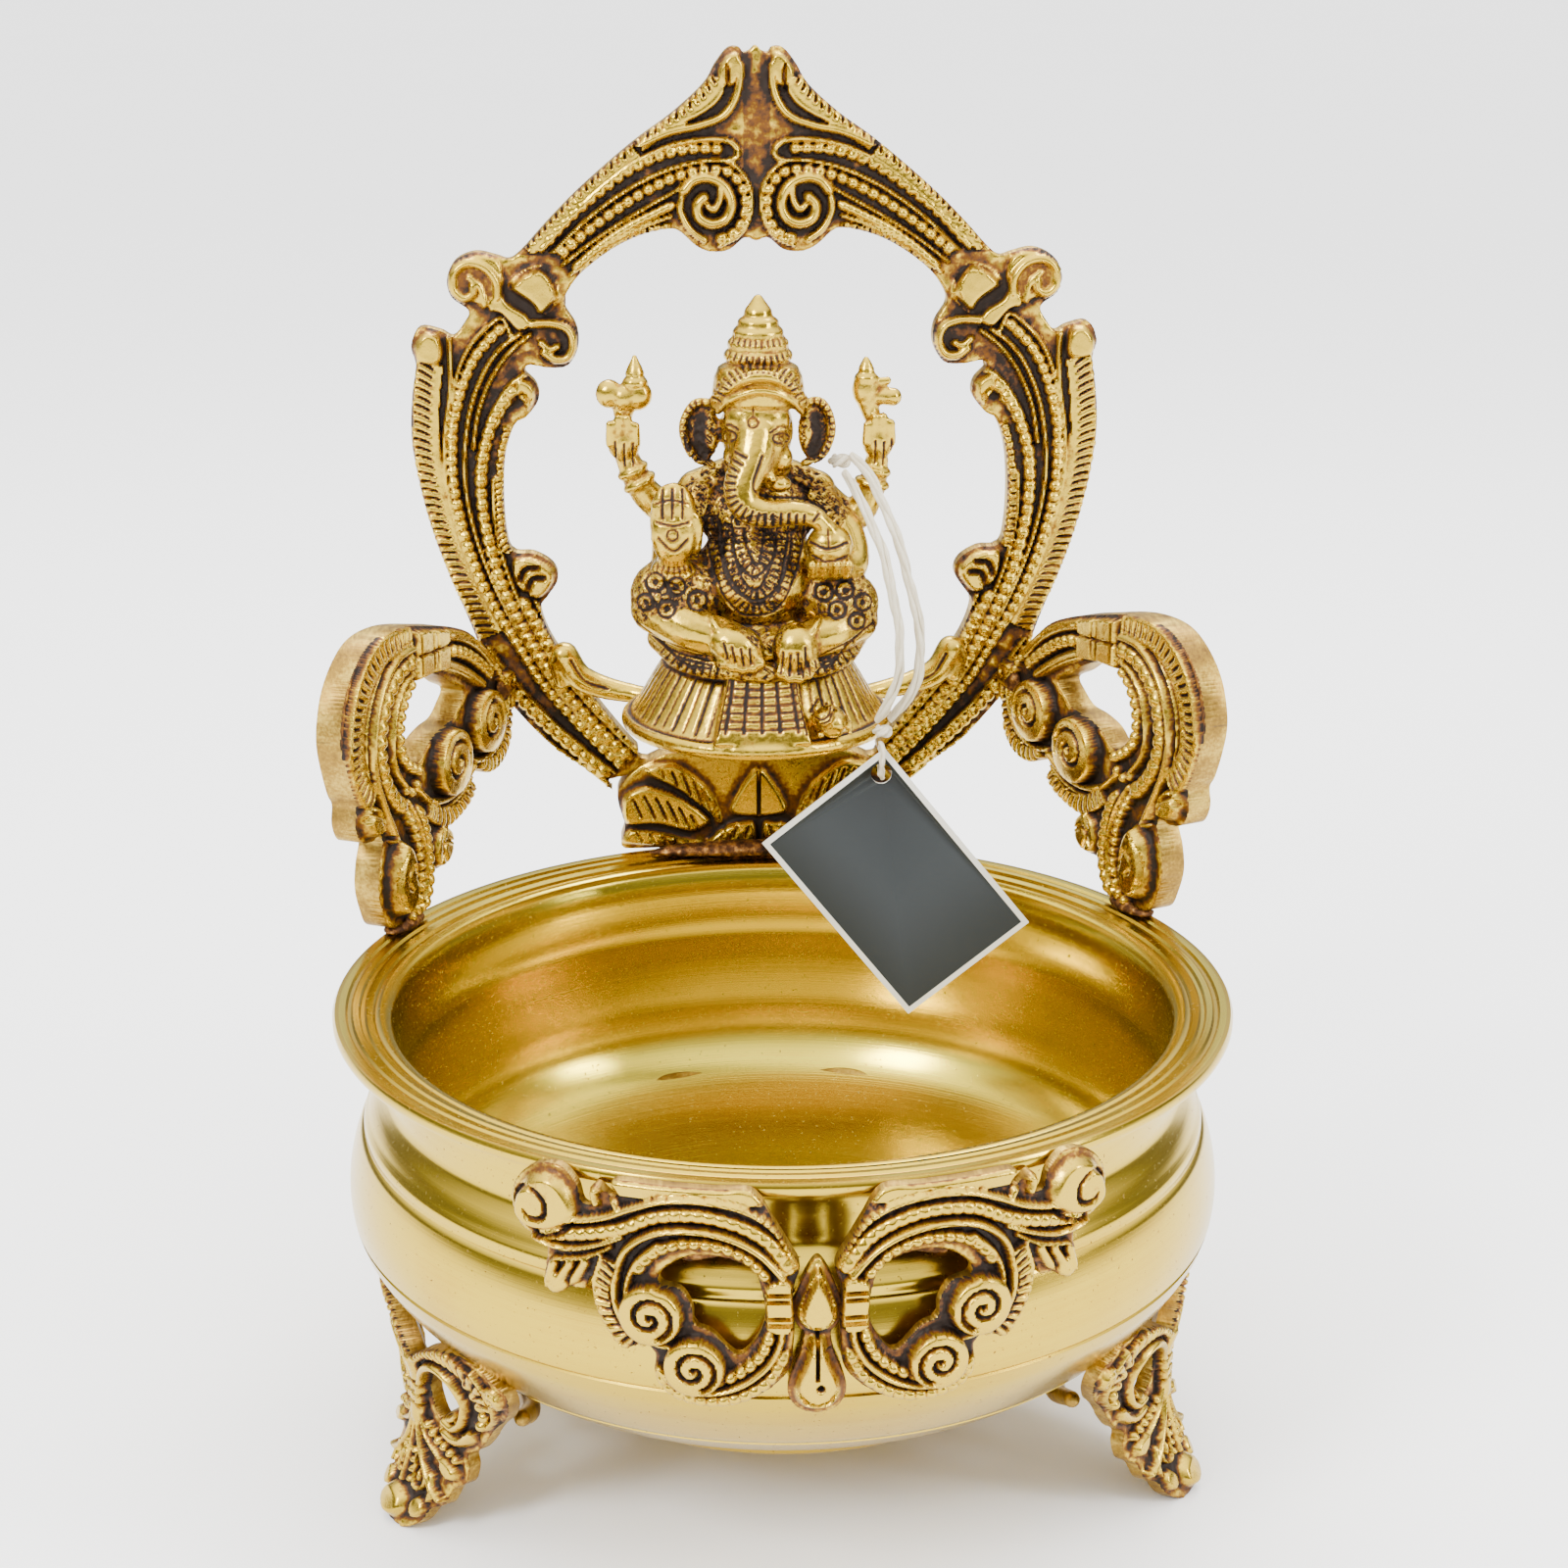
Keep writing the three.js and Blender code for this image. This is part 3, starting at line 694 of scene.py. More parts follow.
def tied(at, size, turns):
    t = np.linspace(0, 2 * math.pi * turns[0], 90)
    r = size * (0.62 + 0.34 * np.cos(turns[1] * t / turns[0]))
    return np.stack([at[0] + r * np.cos(t), at[1] + r * np.sin(t) * 0.8,
                     at[2] + size * 0.42 * np.sin(turns[1] * t / turns[0])], 1)


for side in ("front", "back"):
    points = raffiaSet[side]
    lines = [laid(points, raffiaSet["offset"], raffiaSet["turns"][side], p) for p in (0.3, 2.4, 4.4)]
    strand = fibrePiece(f"raffiaStrand_{side}", lines, raffiaSet["fibre"])
    ride(strand, [f"raffia_{side}"])
tagTurns = [tied(raffiaSet["tagKnot"], 0.0019, (3, 4)), tied(raffiaSet["tagKnot"], 0.0015, (2, 3))]
tagKnotPiece = fibrePiece("raffiaKnotTag", tagTurns, raffiaSet["tagFibre"])
ride(tagKnotPiece, ["raffia_knot_tag"])
shoulderTurns = [tied(raffiaSet["shoulderKnot"], 0.0022, (3, 4)), tied(raffiaSet["shoulderKnot"],
        0.0017, (2, 5))]
shoulderKnotPiece = fibrePiece("raffiaKnotShoulder", shoulderTurns, raffiaSet["shoulderFibre"])
ride(shoulderKnotPiece, ["raffia_knot_shoulder"])
ringAngle = np.linspace(0, 2 * math.pi, 60)
ringLines = []
for phase, wider in ((0, 0.0002), (2, -0.0003)):
    ringX = raffiaSet["loop"][0] + 0.0003 * np.sin(ringAngle * 3 + phase)
    ringY = raffiaSet["loop"][1] + (0.0023 + wider) * np.cos(ringAngle)
    ringZ = raffiaSet["loop"][2] + (0.0042 + wider) * np.sin(ringAngle)
    ringLines.append(np.stack([ringX, ringY, ringZ], 1))
loopPiece = fibrePiece("raffiaLoop", ringLines, raffiaSet["loopFibre"])
ride(loopPiece, ["raffia_loop"])


def lengthOf(points):
    line = through(points, 0.0005)
    return float(np.linalg.norm(np.diff(line, axis=0), axis=1).sum())


for side, extra in (("front", [tagKnotPiece, loopPiece, shoulderKnotPiece]), ("back", [])):
    lengthOf(raffiaSet[side])
    [list(map(float, p)) for p in through(raffiaSet[side],
                    0.002)]
stage("raffia laid")


# the turned bowl and its ring

bowlParts = {
    "outside": [(0, 27.3), (52, 27.3), (57.6, 27.3), (58.4, 27.6), (64, 28.7), (71, 31.6), (78, 35.6),
                (84, 40.2), (85.4, 41.4), (85.3, 41.9), (86.3, 42.3), (89.6, 46),
                (93.6, 51.2), (96.4, 56), (97.3, 58.8), (96.9, 59.2), (97.0, 59.6), (97.6, 60), (98,
                        64.4), (97.7, 69), (96.8, 73.4), (95.4, 77.6), (94.9, 78.6),
                (94.3, 78.9), (94.1, 79.6), (94.3, 80.3), (93.9, 81.6), (93.3, 82.2), (92.9, 83.2), (91.2,
                        85.6),
                (89.6, 87.4), (89, 88.6), (88.9, 90), (88.8, 94), (88.9, 97), (89.6, 99.4), (91.4,
                        101.4), (94.2, 102.6),
                (98.2, 103.4), (99.6, 103.9), (100, 104.7), (100, 105.7), (99.5, 106.5)],
    "inside": [(98.6, 106.6), (97.2, 106.5), (96.7, 106.0), (96.0, 106.0), (95.5, 106.4), (94.3, 106.3),
               (93.8, 105.7),
               (93.1, 105.65), (92.6, 106.0), (91.2, 105.7), (90.7, 105.1), (90.1, 105.1), (89.6,
                       105.4), (88.2, 105.1),
               (87.3, 104.4), (86.6, 103.2), (86, 101), (85.7, 98), (85.7, 93), (85.9, 90), (86.8, 87), (89,
                       83.2),
               (91.2, 79), (93.2, 73), (94.6, 66), (94.6, 60), (93.2, 54.4), (89.8, 48.8), (84.6, 43.6), (78,
                       38.8),
               (70, 34.6), (62, 31.8), (55, 30.6), (30, 30.4), (0, 30.4)],
    "around": 192,
}


def lathe(name, profile, around, mat):
    # fine profile: corners kept tight, curves eased
    pts = np.array(profile, float)
    rings = []
    for i in range(len(pts) - 1):
        a, b = pts[i], pts[i + 1]
        prev = pts[max(i - 1, 0)]
        after = pts[min(i + 2, len(pts) - 1)]
        n = max(1, min(6, int(np.hypot(*(b - a)) / 1.6)))
        for t in np.linspace(0, 1, n, endpoint=False):
            rings.append(between(prev, a, b, after, t) if n > 1 else a)
    rings.append(pts[-1])
    rings = np.array([r for r in rings if r[0] > 0.01])
    ang = np.linspace(0, 2 * math.pi, around, endpoint=False)
    verts = [np.stack([r * np.cos(ang), r * np.sin(ang), np.full(around, z)], 1) for r, z in rings]
    verts = np.concatenate(verts) * mm
    n = len(rings)
    faces = []
    for i in range(n - 1):
        a = i * around + np.arange(around)
        b = i * around + (np.arange(around) + 1) % around
        faces.append(np.stack([a, b, b + around, a + around], 1))
    faces = np.concatenate(faces).tolist()
    if profile[0][0] < 0.01:
        verts = np.concatenate([verts, [[0, 0, profile[0][1] * mm], [0, 0, profile[-1][1] * mm]]])
        first, last = len(verts) - 2, len(verts) - 1
        faces += [[(k + 1) % around, k, first] for k in range(around)]
        top = (n - 1) * around
        faces += [[top + k, top + (k + 1) % around, last] for k in range(around)]
    else:
        top = (n - 1) * around
        faces += [[top + k, top + (k + 1) % around, (k + 1) % around, k] for k in range(around)]
    return facedOut(newPiece(name, verts, faces, [mat], smooth=38))


bowl = lathe("bowl", bowlParts["outside"] + bowlParts["inside"], bowlParts["around"], bowlGold)
bowl.data.materials.append(bowlInnerLit)
# faces that look into the bowl take the lighter inside copy, painted light for the interior's reflection
for face in bowl.data.polygons:
    spot, way = face.center, face.normal
    if spot.z > 0.0303 and (spot.x * way.x + spot.y * way.y < 0 or spot.z < 0.0306):
        face.material_index = 1
ride(bowl, ["bowl_shell"])
# the ring seated under the bowl
ringProfile = [(52.6, 26.9), (52.6, 22.6), (53.2, 22), (57.4, 22), (58.1, 22.5), (58.5, 23.6), (58.5, 25.4),
               (58.2, 26.4),
               (57.6, 27.0), (52.7, 27.0)]
ring = lathe("baseRing", ringProfile, 160, ringGold)
ride(ring, ["base_ring"])
stage("bowl turned")


# the arch, drawn for one half and mirrored

archSet = {"front": 97.6, "back": 4.6, "step": 0.46}

archHalf = {
    "outer": [(-33, 126), (-36.2, 121.5), (-44, 128), (-52, 134), (-60, 142.5), (-65.6, 150), (-68.6, 157),
              (-70.6, 163),
              (-72.4, 168), (-77, 180), (-80.8, 192), (-83.4, 204), (-84.6, 214), (-84, 224), (-82.8,
                      231.4), (-83.8, 236),
              (-81.6, 240.4), (-76.6, 239.6), (-73.6, 238.2), (-71, 241), (-69.6, 244.4), (-73.6,
                      247.6), (-74.6, 252),
              (-72.4, 256.4), (-67.6, 258.4), (-62.6, 257.4), (-59.6, 256.6), (-56.6, 258.6), (-51,
                      264.6), (-44, 271.6),
              (-36, 278.6), (-28, 285), (-20, 290.6), (-12.4, 297.4), (-9.6, 302), (-6.6, 305.6), (-4,
                      305.8), (-3, 304.6),
              (-1.4, 305), (0, 306.2)],
    "inner": [(0, 260.6), (-2.8, 261.4), (-6.4, 258.6), (-10.6, 258), (-14.4, 259.4), (-19.2, 263.4),
              (-24, 263.2),
              (-30, 261.4), (-36, 258.2), (-42, 253.6), (-45.4, 249.4), (-46.6, 245.6), (-43.8,
                      240.6), (-43.4, 235.6),
              (-46, 231), (-50.6, 230.4), (-55.4, 231.2), (-56.6, 229.6), (-53.8, 226.4), (-53.4,
                      222.6), (-56.6, 218.4),
              (-59.4, 216.6), (-61.8, 209.6), (-62.6, 200), (-62.2, 190), (-60.6, 184.8), (-55.6,
                      184.2), (-51, 181.4),
              (-49.8, 177.6), (-52.4, 173.4), (-54.2, 170.4), (-52.4, 164), (-48.4, 157), (-44.6,
                      151.6), (-40.4, 145.6),
              (-35.4, 139), (-30.6, 133.4), (-25.4, 129.8)],
}


def archStrands(s, hand):
    m = asDrawn if hand < 0 else mirror
    # outer feathered strand, from the knob down to the leaf foot
    outerRun = [(-79.2, 232), (-80.2, 226), (-81, 214), (-80, 203), (-77.4, 191), (-73.6, 180), (-69, 169.6),
                (-66.6, 163.6)]
    s.feathers(m(outerRun), 6.6, 1.6, 2.0, lean=0.5 * hand, depth=1.1, bow=0.35,
               span=(0.0, 0.72) if hand < 0 else (0.28, 1.0))
    s.lift(m([(-82.8, 232), (-83.4, 236.6), (-80.4, 240), (-76.6, 238.8), (-75.6, 234), (-77.4, 231)]), 2.6,
           1.6)
    # first rib and the bead strand that starts under the petal
    s.rib(m([(-74.6, 238), (-74.4, 232), (-74.9, 224), (-76.4, 214), (-76.6, 204), (-74.4, 192),
             (-70.6, 180), (-65, 168), (-58, 156.6)]), 1.5, 1.7)
    s.beads(m([(-61.4, 240.8), (-65.4, 237), (-69, 232.4), (-71.8, 226), (-74, 218), (-74.8, 210),
               (-74.6, 202), (-73, 192),
               (-70, 181.6), (-66, 172), (-61, 162.6), (-55, 152), (-48, 143), (-40, 134), (-34.6,
                       128.6)]), 3.0, 1.9, 2.75, 0.3, square=0.8)
    s.rib(m([(-59.6, 238.4), (-61.6, 242.6), (-65, 240.8), (-69.6, 236), (-72.6, 230), (-74.4, 222.6)]), 1.3,
          1.7)
    s.rib(m([(-57.6, 238.8), (-62.6, 235), (-66.4, 229.6), (-69.6, 222), (-71.4, 213), (-71.9, 203),
             (-70.4, 192), (-67.4, 181.4),
             (-63, 170.6), (-57.4, 160), (-50.6, 149), (-43, 139.6), (-35, 130.6)]), 1.4, 1.9)
    s.rib(m([(-55, 238.6), (-59.6, 235), (-64.4, 228.6), (-68, 220), (-69.6, 211)]), 1.3, 2.2)
    # inner bead strand, from its hook curl
    s.beads(m([(-58.6, 225.6), (-63, 220.6), (-66, 214), (-67.8, 206), (-67.8, 196), (-66.2, 186),
               (-63.4, 176), (-59.4, 167),
               (-54, 157), (-47.6, 147.6), (-40.6, 139), (-33, 131)]), 3.5, 2.1, 3.0, 0.3, square=0.8)
    s.rib(m([(-55.4, 229.6), (-60, 226.6), (-63.6, 221.6), (-66, 217)]), 1.5, 2.0)
    s.rib(m([(-65, 203), (-65, 194), (-63.6, 185), (-60.8, 175.6), (-56.8, 166.4), (-51, 156), (-44.4, 147),
             (-36, 137.4), (-29.4, 131)]), 1.3, 1.8)
    s.feathers(m([(-60.8, 216), (-62.6, 208), (-63.4, 199), (-63.2, 190), (-62, 184.6)]), 2.8, 1.3, 1.6,
               lean=0.3, depth=0.8, span=(0, 1))
    s.lift(m([(-58.4, 228.4), (-54.4, 226.8), (-53.8, 222.8), (-56.2, 219.6), (-57.6, 222), (-59.6, 224.4)]),
           2.5, 1.2)
    s.groove(m([(-59.6, 223), (-57.2, 224.4), (-55.8, 222.6), (-57, 220.6)]), 1.0, 0.9)
    # curl low on the inside and the bead strand that leaves it
    s.lift(m([(-61, 183.4), (-55.6, 183.6), (-51.2, 180.8), (-50.4, 177.6), (-52.6, 174), (-55.4, 172.6),
              (-59, 174.6), (-61, 178)]), 2.4, 1.2)
    s.groove(m([(-59.2, 177.6), (-57.8, 180.6), (-54.8, 181)]), 1.6, 1.6)
    s.groove(m([(-57.6, 174.2), (-56.2, 178), (-53.4, 178.4)]), 1.6, 1.5)
    s.beads(m([(-58.6, 172.6), (-55.6, 167), (-52, 160.4), (-47, 153), (-41.4, 146), (-35.4, 139.6),
               (-30.6, 134.6), (-26.6, 131.4)]), 3.2, 2.0, 2.9, 0.3, square=0.8)
    s.rib(m([(-55.4, 172), (-52.8, 166.6), (-49, 159.4), (-44.2, 152), (-38.6, 145), (-32, 138),
             (-26.4, 133.6)]), 1.2, 1.6)
    # outer bead strand that leaves the scroll joint
    s.beads(m([(-70.6, 160.6), (-66.4, 155), (-61.6, 149), (-56.6, 143), (-50.6, 137), (-44, 131),
               (-38.6, 126.6)]), 3.3, 2.0, 2.9, 0.3, square=0.8)
    s.rib(m([(-67.6, 160.6), (-63, 154), (-58, 147.6), (-51.6, 140.6), (-44, 133.4), (-36.6, 127)]), 1.2,
          1.8)
    s.rib(m([(-66.6, 148.6), (-60, 141.4), (-52.6, 134.6), (-45, 128.8), (-37.6, 123.4)]), 1.5, 1.3)
    # petal, its curls and the collar above
    s.lift(m([(-60.4, 250.2), (-57, 254.4), (-52, 255.6), (-48.6, 252.6), (-47, 247.6), (-49.6, 244),
              (-52.6, 242.4), (-55, 245.6)]), 3.1, 2.0)
    s.groove(m([(-59.2, 250.4), (-55.8, 253.4), (-51.6, 254.2), (-49.2, 251.4), (-48.6, 247.8), (-50.4, 245),
                (-52.6, 243.4)]), 1.2, 1.4)
    s.lift(m([(-61.4, 249), (-59.6, 246.4), (-55.4, 243.6), (-54.4, 240.6), (-58, 239.4), (-62, 243.4),
              (-65, 244.4), (-64.6, 248)]), 2.2, 1.0)
    s.rib(m([(-62.6, 247.6), (-62.8, 251.6), (-65.6, 255), (-69.6, 255.9), (-72.8, 253.6), (-73, 249.8),
             (-70.8, 247.6), (-68.6, 248.6), (-68.4, 250.6)]), 2.6, 2.7)
    s.rib(m([(-65.6, 246), (-66.8, 250.4), (-69.2, 252.6)]), 2.0, 2.2)
    s.lift(m([(-62, 256.4), (-66, 258), (-70.6, 257), (-73.4, 253), (-73.6, 249), (-71, 246.4), (-68, 246.2),
              (-66, 244.6), (-63, 247), (-60.6, 251)]), 1.3, 0.8)
    s.rib(m([(-54.4, 241.2), (-50.4, 241.4), (-46, 240), (-44.6, 236.6), (-46, 233.2), (-49, 232.6),
             (-51.6, 234.4)]), 2.4, 2.6)
    s.rib(m([(-52.4, 236.6), (-50.4, 235), (-48.6, 235.6)]), 2.0, 2.2)
    s.channel(m([(-55, 233.4), (-58.4, 232), (-60.4, 229.4)]), 3.4, 0.2)
    # upper bands from the petal to the crown
    s.feathers(m([(-55.6, 259.4), (-50, 265), (-43, 271.6), (-35.6, 277.8), (-29, 282.6)]), 5.4, 1.7, 2.0,
               lean=0.55 * hand, depth=1.15,
               bow=0.3, span=(0.3, 1.0) if hand < 0 else (0.0, 0.7))
    s.feathers(m([(-28.4, 284), (-22, 288), (-16.6, 291.6), (-12, 295.6), (-9.4, 299)]), 5.0, 1.9, 2.0,
               lean=0.55 * hand, depth=1.15,
               bow=0.3, span=(0.3, 1.0) if hand < 0 else (0.0, 0.7))
    s.rib(m([(-51.6, 259), (-45, 266), (-38, 272.6), (-30, 278.6), (-22, 282.6), (-14, 284.4), (-7.6, 284.4),
             (-4.8, 282.8), (-4.6, 280.6), (-6.6, 279.6)]), 1.7, 2.1)
    s.rib(m([(-28.6, 283), (-21, 286.2), (-13.6, 287.8), (-8, 290), (-5, 294), (-3.8, 299), (-4, 303.4)]),
          2.2, 2.3, taper=1.5)
    s.rib(m([(-22, 287.4), (-14.4, 290.4), (-9.4, 294), (-7, 299), (-6.8, 302.6)]), 1.7, 1.9, taper=1.5)
    s.lift(m([(-9.6, 299), (-8.6, 302.6), (-6, 305), (-3.6, 304.6), (-3.2, 301), (-4.8, 297),
              (-7.6, 296.4)]), 2.3, 1.2)
    s.groove(m([(-6.9, 302.4), (-6.6, 298.6), (-7.6, 295)]), 0.9, 1.2, taper=1.0)
    s.beads(m([(-50.6, 260.2), (-44.6, 266.6), (-38, 272), (-31, 277), (-23.6, 280.6), (-15.6, 282.4),
               (-8, 282.4)]), 2.8, 1.9, 2.75, 0.3, square=0.8)
    s.rib(m([(-49.6, 257.6), (-42.6, 264.4), (-36, 269.6), (-29, 274), (-21, 277.6), (-13.6, 279.4),
             (-7.6, 279.6), (-3.6, 277), (-1.4, 272.6), (-1.4, 267), (-4, 262.2), (-9, 259.6)]), 1.3, 1.9)
    s.beads(m([(-47.6, 257.4), (-41.4, 262.6), (-34.6, 267.6), (-27.6, 272), (-20, 275.6), (-12.6, 277.4),
               (-6.6, 276.8), (-3.2, 272.6),
               (-2.8, 267.4), (-5, 263), (-9.6, 261)]), 2.9, 1.9, 2.8, 0.3, square=0.8)
    s.rib(m([(-46.6, 255.4), (-40, 260.4), (-33, 265), (-26, 269), (-19.4, 272.6), (-17.8, 274.4)]), 1.2,
          1.8)
    s.rib(m([(-45, 253), (-38, 258.4), (-31.4, 262.2), (-25.6, 264.8), (-20.6, 266.6)]), 1.2, 1.7)
    s.beads(m([(-43.6, 254.6), (-37.4, 259.8), (-31, 264), (-25, 267), (-20.4, 269.2)]), 2.6, 1.7, 1.9, 0.3,
            square=0.8)
    s.feathers(m([(-42, 252.6), (-36.6, 257), (-30.6, 260.6), (-25, 262.8), (-20.4, 263.8)]), 2.6, 1.3, 1.6,
               lean=0.2, depth=0.8, span=(0, 1))
    # snail under the crown
    snail = [(-17.4, 272.6), (-15.2, 275), (-11.4, 275.6), (-7.6, 273.6), (-6, 269.6), (-7.4, 266),
             (-10.6, 264.8), (-13.6, 266.2),
           (-14.2, 269.2), (-12.6, 271)]
    s.rib(m(snail), 3.0, 3.1)
    s.rib(m([(-17.6, 272.2), (-18.2, 268), (-16, 263.6), (-12.6, 261)]), 1.9, 2.0)
    s.rib(m([(-8.6, 273.4), (-8.8, 270.6), (-10.2, 268.2), (-11.6, 269)]), 2.2, 2.7)
    s.channel(m([(-58, 257.8), (-52, 257.8), (-47.4, 257.2)]), 0.9, 0.1)


arch = sheet((-87, 118), (87, 309), archSet["step"])
outerLine = archHalf["outer"] + [(-x, z) for x, z in reversed(archHalf["outer"][:-1])]
arch.outline(outerLine, fine=4)
arch.hole(archHalf["inner"] + [(25.4, 129.8)] + [(-x, z) for x, z in reversed(archHalf["inner"][1:-1])],
          fine=4)
archStrands(arch, -1)
archStrands(arch, 1)
# rough column between the two halves of the crown
for a in (-1, 1):
    arch.channel([(a * 1.6, 304), (a * 1.8, 294), (a * 1.2, 286)], 2.0, 0.0)
arch.soot[(np.abs(arch.x) < 3.2) & (arch.z > 274) & (arch.z < 300) & (arch.high < 0.6)] = 0.45
grain = dice.normal(0, 1, arch.x.shape)
grain = blurred(grain, 1) * 1.2
arch.high += np.where(arch.high < 0.7, grain * 0.5, grain * 0.07)
arch.finished()


def archPlace(x, z, h):
    return np.stack([x, archSet["front"] - h, z], 1)


archPiece = castFrom("arch", arch, archPlace, archSet["back"], [castGold, edgeGold])
ride(archPiece, ["arch_frame"])
stage("arch cast")


# leaf foot under the arch

leafSet = {"front": 95.4, "back": 7.4, "step": 0.42}


def bothHalves(half):
    # an outline from the top down one side and back up the other
    return half + mirror(reversed(half[1:-1]))


def veinsOf(hand, veins):
    return [(hand * x, z, length) for x, z, length in veins]


def leaf(s, outline, height, veins, lean, depth=0.9):
    s.lift(outline, height, 1.6)
    for x, z, length in veins:
        s.groove([(x, z), (x + lean[0] * length * 0.5, z + lean[1] * length * 0.45),
                  (x + lean[0] * length, z + lean[1] * length)],
                 0.95, depth, fine=3, taper=1.2)


leafFoot = sheet((-38, 104), (38, 137), leafSet["step"])
leafFoot.outline([(-34.4, 106.9), (-20, 107), (0, 107), (20, 107), (34.4, 106.9), (34.2, 113), (35.8, 119),
                  (35.6, 123),
                  (32, 127.4), (27, 130.6), (20, 132.6), (0, 133.4), (-20, 132.6), (-27, 130.6), (-32,
                          127.4), (-35.6, 123),
                  (-35.8, 119), (-34.2, 113)], fine=5)
for hand in (1, -1):
    m = asDrawn if hand > 0 else mirror
    leaf(leafFoot, m([(-9, 113), (-11, 121), (-16, 127), (-22, 130.4), (-29, 129), (-27.6, 126),
                      (-20, 121.6), (-13, 115)]), 1.5,
         veinsOf(hand, [(-25, 128.6, 3.4), (-22.4, 128.4, 5), (-19.6, 127.4, 6.4), (-17, 125.6, 7),
                        (-14.6, 123.2, 7), (-12.6, 120, 6)]),
         (0.36 * hand, -1))
    leaf(leafFoot, m([(-12, 114.4), (-16, 119), (-22, 123), (-29, 124.6), (-34.6, 122), (-35.4, 117),
                      (-33.6, 113.2), (-26, 113),
                      (-17, 111)]), 2.3,
         veinsOf(hand, [(-32.6, 121.6, 6.6), (-29.6, 122.2, 7.4), (-26.6, 121.6, 7.4), (-23.6, 120.4, 7.2),
                        (-20.6, 118.8, 6.4), (-17.8, 116.8, 5)]),
         (0.44 * hand, -1))
    leaf(leafFoot, m([(-34.4, 108), (-33.6, 112.6), (-27, 112.6), (-20, 110.4), (-14, 107.4)]), 1.8,
         veinsOf(hand, [(-31.6, 112, 3.4), (-28.4, 111.8, 3.6), (-25.2, 111.2, 3.4),
                        (-22, 110, 2.6)]), (0.5 * hand, -1))
    leaf(leafFoot, m([(-14.6, 108.6), (-10, 112.6), (-5, 114.6), (-0.6, 114.2), (-1, 107.4), (-10, 107.2)]),
         2.2,
         veinsOf(hand, [(-11.6, 112, 3.6), (-8.6, 113, 4.4), (-5.4, 113.6, 4.8),
                        (-2.4, 113.4, 4.6)]), (-0.32 * hand, -1))
    leafFoot.groove(m([(-34, 113), (-26, 113.2), (-18, 110.8), (-13, 107.8)]), 1.1, 1.6)
    leafFoot.groove(m([(-31, 125.4), (-24, 123.4), (-17, 119.4), (-12, 114.6), (-14.6, 109)]), 1.2, 1.7)
    leafFoot.groove(m([(-14.4, 108.6), (-9.6, 112.8), (-5, 115), (-0.4, 115)]), 1.1, 1.7)
    leafFoot.groove(m([(-20, 130.6), (-13, 125), (-9, 117.6), (-8.6, 114)]), 1.1, 1.5)
leafFoot.lift([(-7.4, 116), (-6, 122), (0, 129), (6, 122), (7.4, 116), (0, 114.6)], 1.5, 1.4)
leafFoot.groove([(0, 116), (0, 128)], 1.0, 1.0)
leafFoot.finished()


def leafPlace(x, z, h):
    return np.stack([x, leafSet["front"] - h, np.maximum(z, 106.95)], 1)


leafPiece = castFrom("archFoot", leafFoot, leafPlace, leafSet["back"], [castGold, edgeGold], sooty=1.25)
ride(leafPiece, ["arch_foot"])
stage("leaf foot cast")


# side scrolls: drawn from the rim (x = 0) towards the arch (x < 0)

scrollSet = {"step": 0.42, "front": 3.2, "back": 3.4, "foot": (91, 40.5), "turn": 66}


